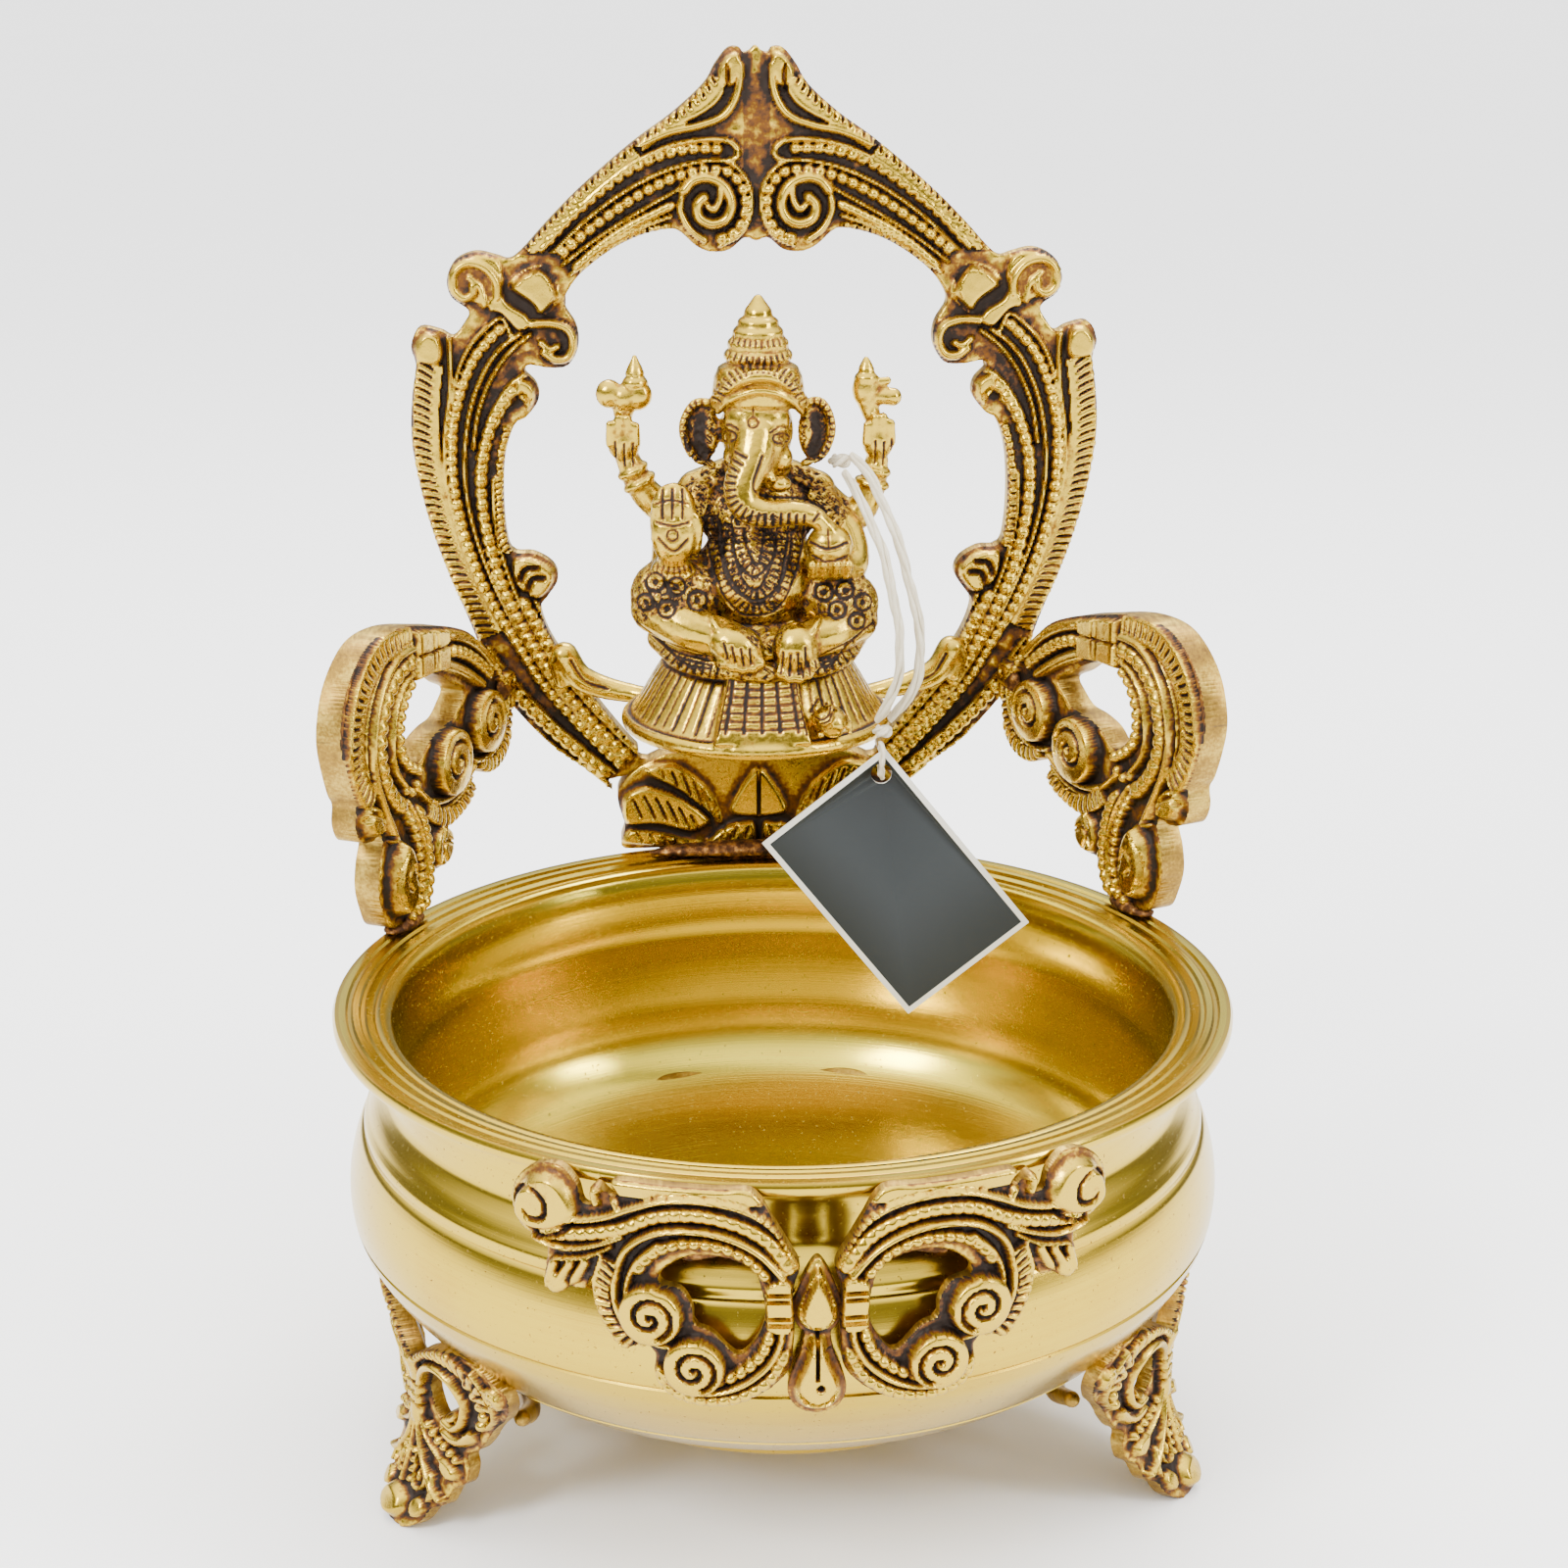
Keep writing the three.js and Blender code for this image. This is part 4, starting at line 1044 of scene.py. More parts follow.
def drawScroll():
    s = sheet((-66, 104), (26, 183), scrollSet["step"])
    s.outline([(-3, 107.4), (4, 109.4), (6.8, 114), (8.6, 120), (7.6, 126), (5.6, 130.4), (6.6, 133.2),
               (10.4, 132.8), (15.4, 134.2),
               (17.6, 138.6), (17, 143), (18.8, 146), (21, 152), (22.4, 158), (22, 163), (19.8, 169), (15.8,
                       174), (10, 178),
               (4, 179.6), (-4, 179.6), (-12, 178.4), (-22, 176), (-32, 173.4), (-42, 169.4), (-50,
                       163.4), (-55.6, 157.8),
               (-59, 155.6), (-63.4, 155.2), (-64.4, 151), (-62.6, 147.4), (-61.4, 142), (-60.6,
                       137), (-57.6, 133.4), (-52, 131.8),
               (-47, 132.4), (-43, 134.6), (-40.4, 133.6), (-39.8, 130), (-36, 127.4), (-30, 125.8), (-25.6,
                       124.8), (-26.8, 122),
               (-26, 118), (-23.4, 115.8), (-19, 116), (-17.6, 114), (-16, 110), (-12, 107.2)], fine=5)
    s.hole([(-5.6, 150), (-5, 155), (-5.4, 160), (-8.6, 163.6), (-14, 165.2), (-21, 164.6), (-27, 162.4),
            (-32, 159.2), (-38, 156),
            (-35, 152.8), (-31, 150.4), (-25, 149.8), (-19, 148.2), (-14.6, 145.2), (-11, 145.6), (-8,
                    147.6)], fine=5)
    s.feathers([(-9, 176.6), (-2, 176.9), (4, 176.2), (9.6, 173.6), (14.2, 169.4), (17.2, 164), (18.6, 158),
                (18.4, 152), (15.8, 146.6), (12, 143.6)],
               6.4, 2.0, 2.15, lean=-0.15, depth=1.4, bow=-0.3, span=(0.2, 0.86))
    s.rib([(-9.6, 173.8), (-3, 173.6), (2.6, 171.2), (7.4, 166.6), (10.6, 160.4), (11.8, 153.6), (10.8, 147),
           (8, 140.6), (5, 135), (3, 131)], 2.2, 2.9)
    s.rib([(-9, 176), (-2, 175.6), (4.4, 172.8), (9.6, 167.8), (13.2, 161), (14.2, 153), (12.6, 146.4)], 1.0,
          1.7)
    s.beads([(-10, 170.8), (-4, 170), (1.4, 167), (5.4, 162), (7.4, 156), (7.4, 150.4), (5.4, 145),
             (2, 140.6), (-2, 137.4)], 4.5, 2.6, 3.4, 0.4, square=0.9)
    s.rib([(-10.4, 168), (-5.4, 166.6), (-0.6, 162.6), (1.8, 157), (2.4, 151.4), (0.8, 146.6), (-3, 142.4)],
          1.7, 2.5)
    s.beads([(-10, 165.8), (-6.4, 163), (-3.2, 158.6), (-2.4, 153.4), (-3.6, 149), (-7, 145.8),
             (-12, 143.2)], 3.0, 2.1, 2.7, 0.3, square=0.9)
    # collar and the arm beyond it
    s.lift([(-27, 164), (-27.4, 174.4), (-18, 176.8), (-10.2, 178), (-10.4, 165.2), (-18, 165)], 2.7, 1.0,
           closedCurve=False)
    for x in (-26.8, -20.4, -18.4, -12.6, -10.2):
        s.groove([(x, 164), (x + 0.2, 178)], 0.9, 1.5)
    s.groove([(-27, 170.4), (-10, 171.6)], 0.8, 0.9)
    s.rib([(-28, 172.4), (-36, 169.8), (-44, 165.6), (-51, 159.8)], 3.0, 2.1)
    s.groove([(-29.6, 172.4), (-37, 169.6), (-43, 166.4)], 0.8, 1.0, taper=1)
    s.beads([(-29, 168.4), (-36, 166), (-43, 162), (-49.6, 157)], 3.5, 2.3, 2.9, 0.4, square=1.4)
    s.rib([(-28, 165), (-35, 162), (-42, 158), (-46, 155.4)], 3.4, 1.7)
    s.beads([(-51, 160.6), (-55.6, 155), (-57, 149), (-55, 143)], 2.4, 1.8, 2.3, 0.2)
    # the arch end: small knots round the joint
    s.boss(-59.6, 152.4, 3.6, 2.4, turns=0.8, groove=0.6)
    s.boss(-62, 147.6, 2.4, 2.0, groove=0)
    s.rib([(-56.6, 154), (-58, 149), (-56.6, 143), (-52.6, 138.8), (-46, 136.8), (-40, 137.6)], 1.6, 2.2)
    s.feathers([(-60.4, 146), (-59, 139.6), (-54.6, 135.2), (-48, 134), (-43, 136)], 4.2, 1.6, 2.1, lean=0.2,
               depth=1.0, span=(0, 1))
    # bead and rib strands under the snails, down to the foot
    s.rib([(-39, 136.6), (-32, 133.6), (-24, 132.6), (-16, 134.6), (-9.6, 139.6)], 1.9, 2.2)
    s.rib([(-38.4, 133.8), (-31, 131), (-23, 130.6), (-15.6, 133)], 1.1, 1.4)
    s.feathers([(-39, 131.4), (-33, 128.4), (-26, 127.6), (-19.6, 129.8), (-15, 133)], 4.4, 1.7, 2.2,
               lean=-0.35, depth=1.1, span=(0, 1))
    s.beads([(1, 139.4), (-4, 135), (-7.4, 129.6), (-9, 123.4), (-9.4, 117), (-7.6, 111.6), (-3, 108.8)],
            2.7, 2.2, 2.6, 0.3, square=0.6)
    s.rib([(-3.6, 138.4), (-8, 132.4), (-10.6, 126), (-11.4, 119), (-10.2, 112.8), (-6.6, 109.4)], 1.4, 2.4)
    s.beads([(-10, 134.4), (-13, 128.4), (-14.4, 121.6), (-14, 114.6), (-11, 109.4)], 3.2, 2.0, 2.8, 0.3,
            square=1.2)
    s.beads([(-2.6, 141.6), (-7, 139.6), (-10.6, 141.6)], 2.8, 2.0, 2.7, 0.3)
    s.lift([(-26, 124), (-22, 127), (-18, 125.4), (-16.6, 120.6), (-18.4, 116.8), (-22.6, 116.4),
            (-25.8, 119)], 2.2, 1.2)
    s.groove([(-25, 121.6), (-21.6, 122.6), (-19, 119)], 0.9, 1.0)
    s.groove([(-21, 126), (-20, 122), (-21.6, 117.4)], 0.8, 0.9)
    # oval scroll standing on the rim, and the knob behind it
    s.lift([(0.6, 130.2), (4.8, 127), (6.4, 120), (5, 113.4), (0.4, 110.4), (-4.4, 112.6), (-6, 118.6),
            (-4.8, 125.6), (-2.4, 129.4)], 3.9, 2.4)
    s.groove([(0.4, 127.6), (3.6, 123.6), (4.4, 118.6), (2.8, 114.4)], 1.0, 1.0, taper=1.5)
    s.groove([(-3.6, 118), (-2.4, 123), (0.6, 122), (0.6, 118.6), (-1.2, 117.4)], 0.8, 0.7, taper=0.8)
    s.lift([(8, 134), (14.4, 134.6), (16.8, 138.4), (16, 142.6), (11, 142.6), (8, 139)], 3.0, 1.8)
    s.groove([(9.6, 134.8), (10.4, 139), (14, 141), (15.6, 139.6)], 1.2, 1.4)
    s.channel([(4, 131.8), (8, 131.6)], 1.4, 0.0)
    s.boss(-45.6, 146.4, 8.2, 4.4, turns=1.5, angle=200, hand=-1, groove=1.5)
    s.boss(-26.4, 141.4, 8.6, 4.4, turns=1.5, angle=200, hand=-1, groove=1.5)
    grainy = blurred(dice.normal(0, 1, s.x.shape), 1) * 1.1
    s.high += np.where(s.high < 0.8, grainy * 0.45, grainy * 0.06)
    s.finished()
    return s


scrollDrawing = drawScroll()
for name, side in (("left", -1), ("right", 1)):
    turn = math.radians(scrollSet["turn"])

    def scrollPlace(x, z, h, side=side, turn=turn):
        out = h + scrollSet["front"]
        px = scrollSet["foot"][0] + x * math.cos(turn) - out * math.sin(turn)
        py = scrollSet["foot"][1] - x * math.sin(turn) - out * math.cos(turn)
        return np.stack([side * px, py, z], 1)

    piece = castFrom(f"sideScroll_{name}", scrollDrawing, scrollPlace,
                     scrollSet["back"] + scrollSet["front"], [castGold, edgeGold])
    ride(piece, [f"side_scroll_{name}"])
stage("side scrolls cast")


# front ornament, bent round the rim

wingSet = {"step": 0.36, "radius": 101.2, "bend": 103.0, "front": 1.6, "back": 2.2}


def drawWing():
    s = sheet((2, 57), (65, 109), wingSet["step"])
    s.outline([(12.6, 106.4), (20, 106.5), (30, 106.5), (39.8, 106.3), (38.8, 103.8), (40.4, 103),
               (43.2, 105), (44.6, 103.6),
               (44.4, 100.4), (46.6, 100.6), (48, 104.6), (51.6, 107.4), (57, 106.4), (61, 102.6), (62.4,
                       97.4), (60.4, 92.8),
               (56, 90.8), (54.4, 88.6), (55, 82.6), (52.4, 80.2), (49, 82), (46.4, 82), (44.6, 85), (43.6,
                       80), (41.4, 75.4),
               (38, 71.2), (34.2, 72.4), (31.8, 70.4), (31.8, 66), (28.8, 62), (22.4, 60.2), (15.4,
                       61), (9.6, 64), (5.4, 68.6),
               (4.6, 74), (4.4, 80), (4.6, 86), (3.4, 90.8), (5.4, 95), (8.6, 100.6)], fine=5)
    s.hole([(10.6, 85), (12.4, 89.8), (18, 92.2), (25, 92), (30, 88.6), (30.8, 85.8), (26.6, 84.6),
            (24.4, 81), (24, 77.4),
            (20.6, 76), (16.8, 72.2), (14.6, 71.6), (11.6, 75.4), (10, 80)], fine=5)
    s.rib([(3.8, 91.4), (7.8, 98.6), (13.4, 102.8), (21, 104.4), (29, 104), (35.6, 101.6), (42, 98.6),
           (50, 96.6), (57, 94.8)], 1.7, 2.3)
    s.ticks([(5.6, 93.6), (8.4, 99.8), (12.4, 104.2)], 2.2, 0.9, 1.6)
    s.beads([(5.4, 90.6), (9.6, 96.4), (15.6, 99.8), (23, 101.2), (31, 100.2), (37.4, 97), (45, 94.6),
             (54, 93)], 3.2, 1.9, 2.3, 0.3, square=1.2)
    s.rib([(6.6, 89), (11, 94), (17, 97.2), (24, 98.2), (31, 97), (36.6, 93), (39, 87), (39, 81),
           (36.6, 75.8), (33.6, 73.2)], 1.8, 2.6)
    s.rib([(38, 95), (44, 92.2), (50, 90.6), (57, 91.4)], 1.4, 1.9)
    s.rib([(40, 92.6), (45.6, 89.4), (52, 87.8)], 1.1, 1.6)
    s.beads([(9.4, 88.4), (13.6, 92.8), (19.4, 95), (26, 95), (31.6, 92.4), (35, 88)], 2.5, 1.9, 2.2, 0.3,
            square=0.8)
    s.rib([(30.6, 94.4), (35, 90), (37, 84), (36, 78), (32.4, 73.8), (27.6, 72.8)], 1.5, 2.1)
    s.feathers([(40.4, 90), (42.2, 84), (41.4, 78.4), (38.4, 73.6), (35, 72)], 4.0, 1.8, 1.9, lean=0.2,
               depth=1.1, span=(0.0, 0.8))
    s.rib([(6.6, 79.6), (7.2, 74.4), (10, 69.4), (15, 65.4), (21, 63.6), (27, 64.4), (30.6, 68)], 1.6, 2.3)
    s.beads([(9, 76.6), (11, 71.8), (15.4, 67.8), (20, 65.8)], 2.6, 1.9, 2.3, 0.3, square=0.9)
    s.beads([(6.2, 72), (9.4, 66.6), (15, 62.8), (21.6, 61.6), (27.8, 63.2), (30.6, 66.4)], 2.7, 1.7, 2.2,
            0.2, square=1.0)
    # collars beside the drop
    s.lift([(4.6, 77.6), (9.8, 77.6), (10.2, 82), (9.8, 87.6), (4.8, 88)], 2.2, 0.7)
    for z in (79.2, 80.6, 84.2, 85.6):
        s.groove([(4.4, z), (10.4, z)], 0.8, 1.2)
    # end curl with its leaf tips
    s.lift([(46, 99), (48.8, 104.6), (53, 106.6), (58, 104.8), (61.2, 100), (61.4, 95.6), (58, 92.8),
            (52.6, 93), (48, 95.6)], 2.7, 2.2)
    s.groove([(47.4, 97), (50.6, 93.8), (56, 92.4), (60.4, 95.6), (60.6, 100), (57, 102.6), (53.4, 100.6),
              (53.6, 97), (56.6, 96.2), (58, 98)], 1.1, 1.3, taper=2)
    for x, z, dx in ((46.6, 86.4, 2), (50, 85.4, 2.2), (53, 84.8, 1)):
        s.rib([(x - dx, z + 3.4), (x, z), (x + dx, z - 3.4)], 2.2, 2.0, taper=1.5)
    s.boss(51.8, 82.6, 2.6, 1.8, groove=0)
    s.rib([(38.6, 101), (40.6, 104.4), (43.4, 103.8), (43, 101.4)], 1.7, 1.8)
    s.boss(32, 79.6, 6.6, 3.8, turns=1.5, angle=250, hand=-1, groove=1.5)
    s.boss(23.6, 69.2, 6.3, 3.8, turns=1.5, angle=250, hand=-1, groove=1.5)
    grainy = blurred(dice.normal(0, 1, s.x.shape), 1)
    s.high += np.where((s.high < 0.7) & (s.z < 103), grainy * 0.4, grainy * 0.05)
    web = (s.z > 103.6) & (s.high < 0.5) & (s.x < 40)
    s.high = np.where(web, 0.9, s.high)
    s.finished()
    return s


def bentPlace(side):
    # the flat drawing carried round the bowl
    def place(x, z, h):
        r = wingSet["radius"] + wingSet["front"] + h
        a = x / wingSet["bend"]
        return np.stack([side * r * np.sin(a), -r * np.cos(a), z], 1)
    return place


wingDrawing = drawWing()
for name, side in (("left", -1), ("right", 1)):
    piece = castFrom(f"frontWing_{name}", wingDrawing, bentPlace(side), wingSet["back"],
                     [castGold, edgeGold])
    ride(piece, [f"front_wing_{name}"])

dropSet = {"step": 0.3, "back": 2.2}
drop = sheet((-8, 57), (8, 94), dropSet["step"])
drop.outline(bothHalves([(0, 92.4), (2.2, 89.6), (4.4, 84), (4.9, 80.6), (3.6, 77.6), (2.6, 76.4), (3.4, 72),
                         (5.4, 66.6),
                         (5.6, 63), (3.6, 60), (0, 59)]))
drop.lift(bothHalves([(0, 91.6), (2, 88.6), (4, 83.6), (4.4, 80.6), (3, 78), (0, 77)]), 3.4, 2.0)
drop.groove([(0, 89.4), (1.7, 86), (3, 81.6), (2, 79.4), (0, 78.8), (-2, 79.4), (-3, 81.6), (-1.7, 86),
             (0, 89.4)], 0.8, 1.2)
drop.lift(bothHalves([(0, 77), (2, 76), (2.8, 72), (4.8, 66.6), (5, 63.2), (3.2, 60.6), (0, 59.8)]), 2.7,
          2.0)
drop.groove([(0, 77.4), (0, 67.6)], 0.8, 1.6)
drop.groove([(-2.4, 73.2), (0, 72.8), (2.4, 73.2)], 0.5, 0.5)
drop.groove([(-3.6, 64.6), (-2, 62.6), (0, 62), (2, 62.6), (3.6, 64.6)], 0.7, 0.8)
drop.boss(0.5, 65.6, 1.0, 2.3, groove=0)
drop.groove([(0.5, 65.6), (0.6, 65.5)], 1.5, 1.6)
drop.finished()
dropPiece = castFrom("frontDrop", drop, bentPlace(1), dropSet["back"], [castGold, edgeGold])
ride(dropPiece, ["front_drop"])
stage("front ornament cast")


# feet: one drawing, folded on its upright ridge and set three times round

footSet = {"step": 0.36, "ridge": 90, "fold": 15, "back": 3.4, "widen": 1.09,
           "places": {"left": -65, "right": 65, "rear": 180}}


def drawFoot():
    s = sheet((-35, -1), (35, 52), footSet["step"])
    half = [(0, 0.2), (5, 0.4), (8.6, 3), (10, 6.4), (13, 8.6), (14, 12.4), (16.8, 15), (17, 18.6), (16, 21),
            (19, 23.6), (21.6, 27),
            (24.6, 31.4), (28.6, 35.6), (31.6, 40), (32, 44), (29, 45.4), (25.6, 47.4), (20, 47.8), (13,
                    46.4), (6.4, 43), (0, 39)]
    s.outline(bothHalves(half), fine=5)
    for hand in (1, -1):
        m = asDrawn if hand > 0 else mirror
        s.hole(m([(3.6, 32), (5, 27.4), (7.6, 25.4), (9.6, 28.4), (12.6, 29.8), (14.6, 33), (14, 37),
                  (10.6, 38.8), (6.4, 36.8)]), fine=5)
        s.rib(m([(1.6, 27), (2.2, 33), (5.6, 38), (10.6, 40.6), (15, 39), (16.6, 34.6), (15.6, 29.6),
                 (13, 26.6), (10, 27)]), 2.3, 2.5)
        s.channel(m([(7, 41.4), (12, 43), (17, 41.6), (19.4, 37), (18.8, 31)]), 1.9, 0.1)
        s.feathers(m([(1, 39.4), (7, 43.6), (13.4, 45.6), (20, 45), (24, 41.6), (24.6, 37)]), 4.0, 1.9, 2.2,
                   lean=0.35 * hand, depth=1.1, span=(0, 1))
        s.beads(m([(21, 43), (22.6, 38.6), (22.6, 34), (21, 30)]), 2.8, 2.0, 2.7, 0.3)
        s.rib(m([(24.6, 46), (27.4, 41), (26.6, 36), (23.6, 31.6)]), 1.3, 1.8)
        s.boss(hand * 29, 41.6, 2.9, 2.1, turns=0.8, angle=40, groove=0.5)
        s.boss(hand * 12, 30.4, 2.7, 2.6, turns=0.9, angle=60, groove=0.7)
        s.rib(m([(8.6, 24.4), (12.6, 23.6), (16.6, 25.4), (19.6, 28.6)]), 3.2, 2.0, taper=2)
        s.groove(m([(9.6, 25.6), (13, 24.6), (16, 26)]), 0.7, 0.8, taper=1)
        # fan of ribs, beads and drops below the waist
        s.rib(m([(1.6, 25), (4, 21), (8, 18.4), (12, 16.6)]), 1.3, 1.9)
        s.beads(m([(3.4, 24), (7, 21.6), (11, 20.4), (15, 19)]), 2.2, 1.9, 2.1, 0.2)
        s.lift(m([(9.6, 18.8), (12.6, 19), (15.4, 17.6), (15.4, 14.8), (12.4, 14.2), (9.8, 16)]), 2.3, 1.2)
        s.rib(m([(1, 23), (2.8, 18), (6, 13.6), (9.6, 10.4), (12.6, 9.6)]), 1.5, 2.1)
        s.rib(m([(2.2, 19.6), (4.8, 15), (6.8, 12), (6.4, 9.6), (4.2, 9.4), (3, 12), (2.6, 16)]), 0.9, 1.9)
        s.lift(m([(4.4, 14), (5.8, 12), (5.6, 10.2), (4.2, 10.6), (3.6, 12.4)]), 1.7, 0.8)
        s.beads(m([(1.2, 17), (1.8, 13), (2.4, 9)]), 1.8, 1.7, 1.9, 0.2)
        s.rib(m([(7.6, 14), (9, 10.6), (9.4, 7.6)]), 1.6, 1.7, taper=1)
        s.boss(hand * 7.2, 5.8, 2.4, 2.0, groove=0)
    # ridge, waist lines and the toe
    s.rib([(0, 38), (0, 24)], 5.2, 2.3)
    for z in (27.4, 30, 32.6):
        s.groove([(-3.4, z - 0.5), (0, z), (3.4, z - 0.5)], 0.8, 1.3)
    s.rib([(0, 24), (0, 9)], 1.3, 2.0)
    s.lift(bothHalves([(0, 0.4), (3.4, 1.4), (5, 4), (3.6, 7.4), (0, 8.8)]), 2.9, 2.2)
    grainy = blurred(dice.normal(0, 1, s.x.shape), 1)
    s.high += np.where(s.high < 0.8, grainy * 0.5, grainy * 0.08)
    s.finished()
    return s


def footPlace(degrees):
    a = math.radians(degrees)
    out = np.array([math.sin(a), -math.cos(a)])
    across = np.array([math.cos(a), math.sin(a)])
    fold = math.radians(footSet["fold"])

    def place(x, z, h):
        x = x * footSet["widen"]
        far = np.sqrt(x * x + 4) - 2
        r = footSet["ridge"] + np.where(z < 28, (28 - z) ** 2 * 0.0115, 0) + np.where(z > 34,
                (z - 34) * 0.33, 0)
        r = r - far * math.sin(fold)
        tilt = np.clip(x / 3, -1, 1) * math.sin(fold)
        lean = np.where(z < 28, -(28 - z) * 0.012, 0.12)
        radial = r + h * math.cos(fold)
        tangent = x * math.cos(fold) + h * tilt
        px = radial * out[0] + tangent * across[0]
        py = radial * out[1] + tangent * across[1]
        return np.stack([px, py, np.maximum(z - h * lean * 0.6, 0.02)], 1)
    return place


footDrawing = drawFoot()
for name, degrees in footSet["places"].items():
    piece = castFrom(f"foot_{name}", footDrawing, footPlace(degrees), footSet["back"], [castGold, edgeGold],
                     sooty=1.2)
    ride(piece, [f"foot_{name}"])
stage("feet cast")


# modelled pieces: solids pressed together, skinned as one casting, then engraved

drawnPlane = 52  # upright plane that the engraved lines are drawn on


class modelled:
    def __init__(self, name, voxel):
        self.name, self.voxel = name, voxel
        self.verts, self.faces, self.cuts, self.seen, self.rough = [], [], [], [], []
        self.count = 0

    def add(self, verts, faces):
        self.verts.append(np.asarray(verts, float))
        self.faces += [[i + self.count for i in f] for f in faces]
        self.count += len(verts)

    def ball(self, at, radii, turn=(0, 0, 0), fine=22):
        radii = radii if hasattr(radii, "__len__") else (radii,) * 3
        a = np.linspace(0, 2 * math.pi, fine, endpoint=False)
        b = np.linspace(0, math.pi, fine // 2 + 1)[1:-1]
        grid = [(math.sin(v) * math.cos(u), math.sin(v) * math.sin(u), math.cos(v)) for v in b for u in a]
        verts = turnedBy(np.array(grid + [(0, 0, 1), (0, 0, -1)]) * radii, turn) + at
        n, rows = fine, len(b)
        faces = [(r * n + i, r * n + (i + 1) % n, (r + 1) * n + (i + 1) % n,
                  (r + 1) * n + i) for r in range(rows - 1) for i in range(n)]
        faces = [f[::-1] for f in faces]
        faces += [(i, (i + 1) % n, rows * n) for i in range(n)]
        faces += [((rows - 1) * n + (i + 1) % n, (rows - 1) * n + i, rows * n + 1) for i in range(n)]
        self.add(verts, faces)

    def rod(self, points, radii, sides=14, flat=1.0):
        line = through(points, 0.8)
        radii = radii if hasattr(radii, "__len__") else (radii,) * len(points)
        spread = np.interp(np.linspace(0, 1, len(line)), np.linspace(0, 1, len(radii)), radii)
        self.add(*tubeRound(line, spread, sides, flat))
        self.ball(line[0], spread[0] * 0.995)
        self.ball(line[-1], spread[-1] * 0.995)

    def hoop(self, at, radius, thick, turn=(0, 0, 0), fine=40):
        a = np.linspace(0, 2 * math.pi, fine, endpoint=False)
        b = np.linspace(0, 2 * math.pi, 10, endpoint=False)
        grid = [((radius + thick * math.cos(v)) * math.cos(u), (radius + thick * math.cos(v)) * math.sin(u),
                 thick * math.sin(v))
                for u in a for v in b]
        faces = [(i * 10 + j, ((i + 1) % fine) * 10 + j, ((i + 1) % fine) * 10 + (j + 1) % 10,
                  i * 10 + (j + 1) % 10)
                 for i in range(fine) for j in range(10)]
        self.add(turnedBy(np.array(grid), turn) + at, faces)

    def lathe(self, at, profile, fine=64):
        a = np.linspace(0, 2 * math.pi, fine, endpoint=False)
        rows = [np.stack([r * np.cos(a), r * np.sin(a), np.full(fine, z)], 1) for r, z in profile]
        verts = np.vstack(rows + [[[0, 0, profile[0][1]]], [[0, 0, profile[-1][1]]]]) + (at[0], at[1], 0)
        n = len(profile)
        faces = [(r * fine + i, r * fine + (i + 1) % fine, (r + 1) * fine + (i + 1) % fine,
                  (r + 1) * fine + i)
                 for r in range(n - 1) for i in range(fine)]
        faces += [((i + 1) % fine, i, n * fine) for i in range(fine)]
        faces += [((n - 1) * fine + i, (n - 1) * fine + (i + 1) % fine, n * fine + 1) for i in range(fine)]
        self.add(verts, faces)

    def slab(self, outline, front, back, lean=0.0):
        # upright plate cut to an outline of (x, z), leaning back with height
        low = min(z for _, z in outline)
        near = [(x, front + lean * (z - low), z) for x, z in outline]
        far = [(x, back, z) for x, z in outline]
        n = len(outline)
        faces = [tuple(range(n)), tuple(range(2 * n - 1, n - 1, -1))]
        faces += [(i, i + n, (i + 1) % n + n, (i + 1) % n) for i in range(n)]
        self.add(near + far, faces)

    def cut(self, points, width, depth):
        self.cuts.append((through(points, 0.25), width, depth))

    def draw(self, points, width, depth):
        # a line on the upright plane, laid on the surface behind it
        self.seen.append((through(points, 0.3), width, depth))

    def strokes(self, points, length, pitch, width, depth, lean=0.0, offset=0.0):
        line = through(points, pitch)
        way = np.gradient(line, axis=0)
        way /= np.linalg.norm(way, axis=1)[:, None]
        for p, t in zip(line, way):
            across = np.array([-t[1], t[0]])
            a = p + across * (offset - length / 2) - t * lean
            b = p + across * (offset + length / 2) + t * lean
            self.draw([a, b], width, depth)

    def loop(self, x, z, radius, width, depth, tall=1.0):
        a = np.linspace(0, 2 * math.pi, 14)
        self.draw([(x + radius * math.cos(t), z + radius * tall * math.sin(t)) for t in a], width, depth)

    def made(self, mats, soften=2, dirt=1.0, grain=0.04, base=0.04):
        flat = facedOut(newPiece(self.name + "_solids", np.vstack(self.verts) * mm, self.faces, []))
        skin = flat.modifiers.new("skin", "REMESH")
        skin.mode = "VOXEL"
        skin.voxel_size = self.voxel * mm
        skin.adaptivity = 0
        bpy.context.view_layer.update()
        mesh = bpy.data.meshes.new_from_object(flat.evaluated_get(bpy.context.evaluated_depsgraph_get()))
        bpy.data.objects.remove(flat)
        n = len(mesh.vertices)
        at = np.empty(n * 3)
        mesh.vertices.foreach_get("co", at)
        at = at.reshape(-1, 3) / mm
        ties = np.empty(len(mesh.edges) * 2, int)
        mesh.edges.foreach_get("vertices", ties)
        a, b = ties[0::2], ties[1::2]
        near = np.maximum(np.bincount(a, minlength=n) + np.bincount(b, minlength=n), 1)[:, None]

        def eased(v):
            out = np.zeros_like(v)
            for k in range(v.shape[1]):
                out[:, k] = np.bincount(a, v[b, k], n) + np.bincount(b, v[a, k], n)
            return out / near

